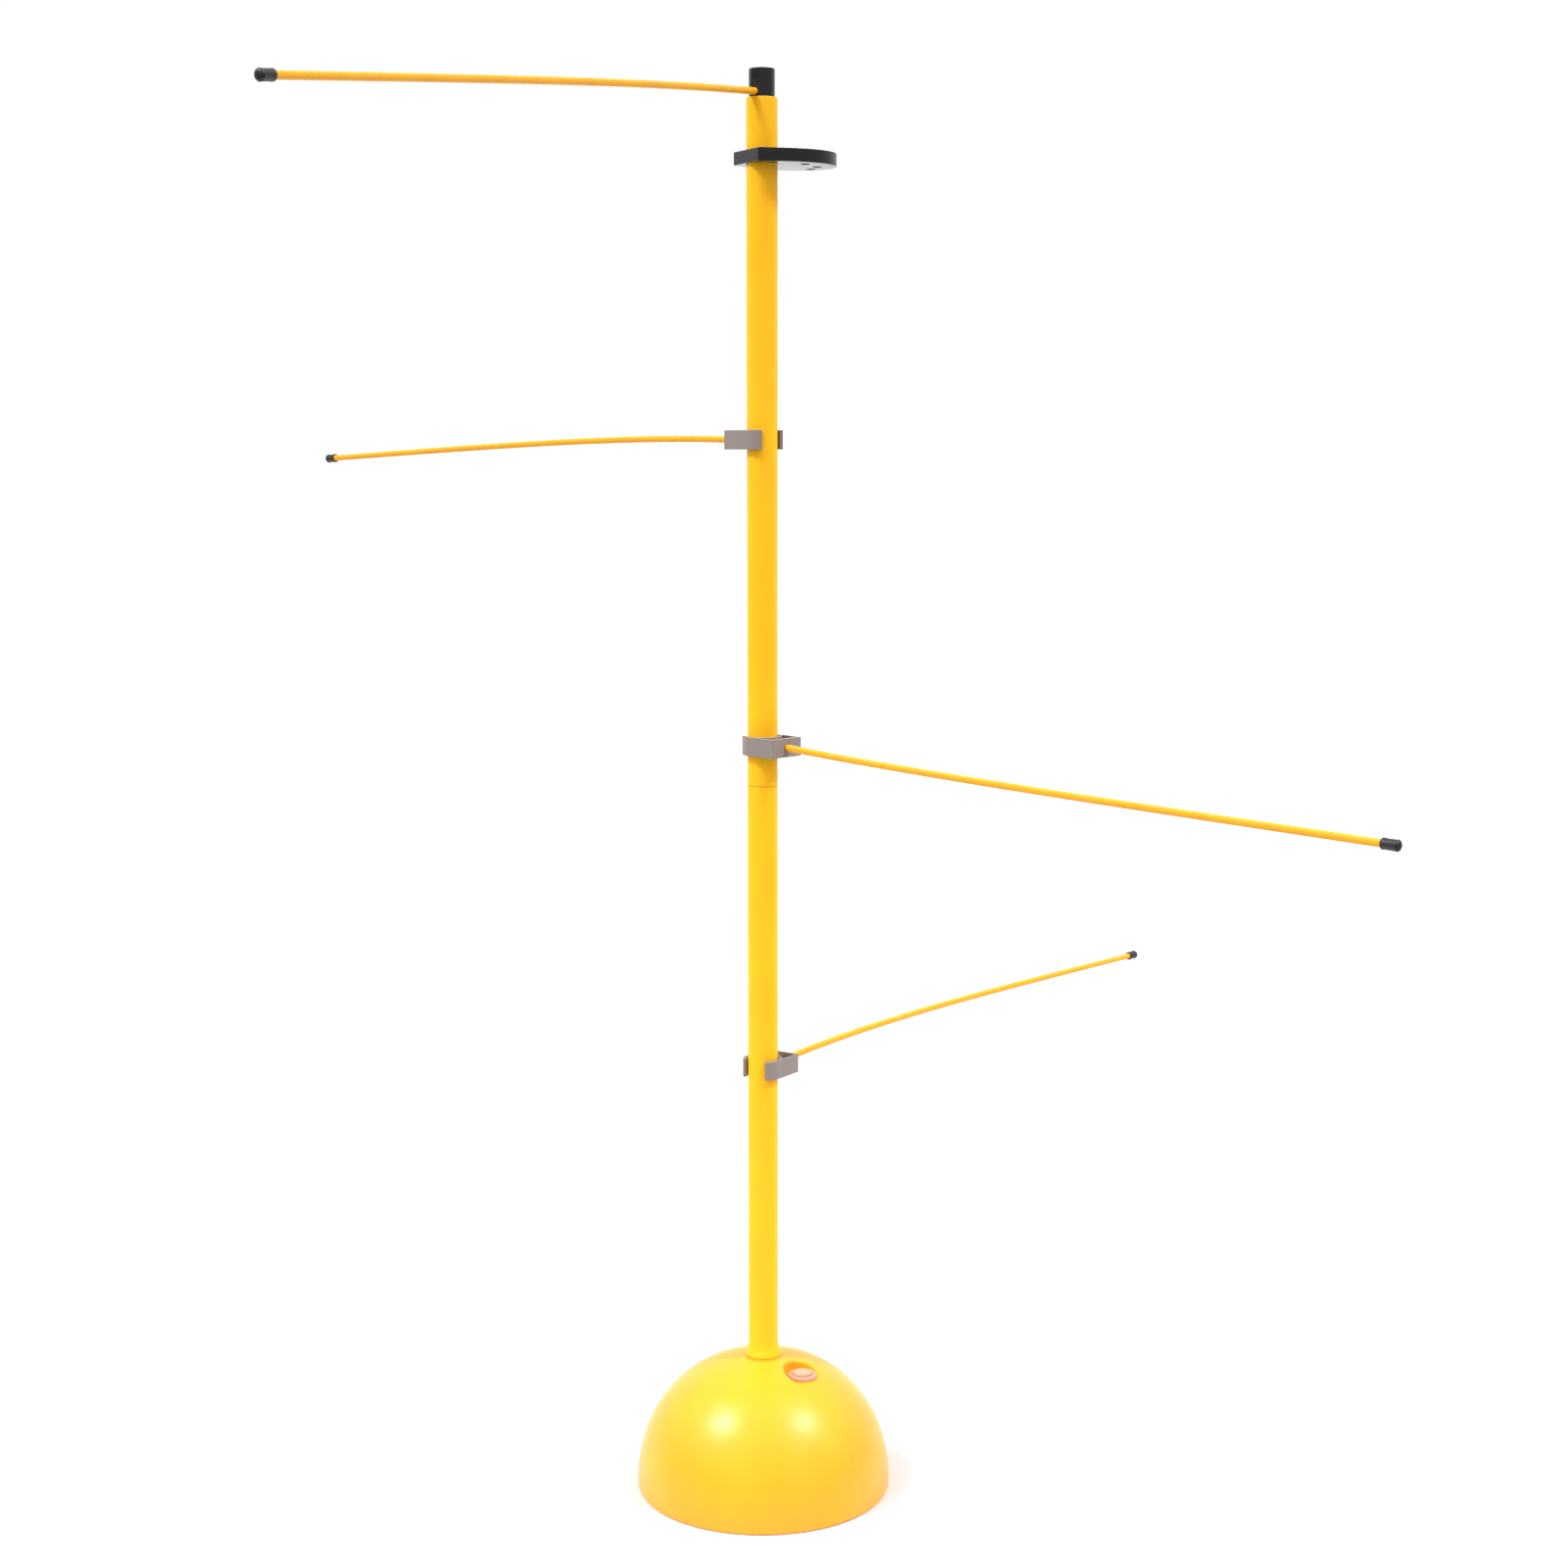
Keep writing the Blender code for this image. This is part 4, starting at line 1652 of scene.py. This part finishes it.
@dataclass
class Studio:
    """A pale floor, a white surround that is dimmer in front, two soft lamps and the camera."""

    floor_radius: float = 1.7
    back_level: float = 1.02
    back_low: float = 1.4
    front_low: float = 0.3
    front_high: float = 1.15
    lamp_strength: float = 3.0
    lamp_angle: float = 12.0
    camera_place: tuple[float, float, float] = (0.0, -2.520, 1.116)
    camera_pitch: float = -7.80
    camera_yaw: float = -0.511
    lens: float = 55.44
    sensor: float = 36.0

    def floor(self) -> None:
        """Lay the floor."""
        thickness = 20 * MM
        top = -0.2 * MM
        edge = self.floor_radius
        profile = [(0.0, top), (edge, top), (edge, top - thickness), (0.0, top - thickness)]
        floor = turned("studio_floor", profile, 180)
        settle(floor)
        floor.data.materials.append(FloorFinish("studio_floor_pale").material())

    def surround(self) -> None:
        """Light the surround: white at the back, a glow in front that fades downwards."""
        world = bpy.data.worlds.new("studio_surround")
        bpy.context.scene.world = world
        world.use_nodes = True
        nodes = world.node_tree.nodes
        links = world.node_tree.links
        place = nodes.new("ShaderNodeTexCoord")
        split = nodes.new("ShaderNodeSeparateXYZ")
        links.new(place.outputs["Generated"], split.inputs[0])
        ramps = []
        for axis, limits in (
            ("Z", (-0.1, 0.5, self.front_low, self.front_high)),
            ("Z", (-0.05, 0.05, self.back_low, self.back_level)),
            ("Y", (-0.3, 0.85, self.front_low, self.back_level)),
        ):
            ramp = nodes.new("ShaderNodeMapRange")
            ramp.interpolation_type = "SMOOTHSTEP"
            for i, value in enumerate(limits, 1):
                ramp.inputs[i].default_value = value
            links.new(split.outputs[axis], ramp.inputs[0])
            ramps.append(ramp)
        links.new(ramps[0].outputs[0], ramps[2].inputs[3])
        links.new(ramps[1].outputs[0], ramps[2].inputs[4])
        links.new(ramps[2].outputs[0], nodes["Background"].inputs["Strength"])
        nodes["Background"].inputs["Color"].default_value = (1.0, 1.0, 1.0, 1.0)

    def lamp(self, name: str, towards: tuple[float, float, float], share: float) -> None:
        """Hang one soft lamp.

        Args:
            name: The lamp's name.
            towards: The direction from the stand to the lamp.
            share: Its strength as a share of the full lamp's.
        """
        data = bpy.data.lights.new(name, "SUN")
        data.energy = self.lamp_strength * share
        data.angle = math.radians(self.lamp_angle)
        lamp = bpy.data.objects.new(name, data)
        lamp.rotation_mode = "QUATERNION"
        lamp.rotation_quaternion = Vector(towards).to_track_quat("Z", "Y")
        lamp.location = Vector(towards) * 3
        bpy.context.scene.collection.objects.link(lamp)

    def camera(self) -> None:
        """Set up the camera."""
        data = bpy.data.cameras.new("studio_camera")
        data.lens = self.lens
        data.sensor_width = self.sensor
        camera = bpy.data.objects.new("studio_camera", data)
        camera.location = self.camera_place
        camera.rotation_euler = (
            math.radians(90 + self.camera_pitch), 0.0, math.radians(self.camera_yaw)
        )
        bpy.context.scene.collection.objects.link(camera)
        bpy.context.scene.camera = camera

    def build(self) -> None:
        """Set up the whole studio."""
        bpy.context.scene.view_settings.view_transform = "Standard"
        self.camera()
        self.floor()
        self.surround()
        for name, towards, share in LAMPS:
            self.lamp(name, towards, share)


ARM_POSES = (
    ArmPose("1", 235.2, -4.09, 61.0, 1477.6 * MM, -16 * MM),
    ArmPose("2", 131.7, 1.37, 45.0, 1129.4 * MM, 22.4 * MM),
    ArmPose("3", -44.9, -3.09, -120.0, 812.9 * MM, 22.4 * MM),
    ArmPose("4", 54.1, 2.21, -51.0, 464.7 * MM, 22.4 * MM),
)


def main() -> None:
    """Build the stand's look around its frame."""
    logging.basicConfig(level=logging.INFO, format="%(name)s: %(message)s")
    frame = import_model()
    Studio().build()
    finishes = Finishes()
    fitter = Fitter(finishes)
    Base().build(fitter)
    FillerPlug().build(fitter)
    Pole().build(fitter)
    StoragePlate().build(fitter)
    TopPlug(ARM_POSES[0]).build(fitter)
    for pose in ARM_POSES:
        Arm(pose).build(fitter)
    for pose in ARM_POSES[1:]:
        Clip(pose).build(fitter)
    finishes.dress(frame["nodes"]["sand_ballast"], Slot.SAND)
    LOG.info("%d new pieces and the sand", fitter.count)


if __name__ == "__main__":
    main()
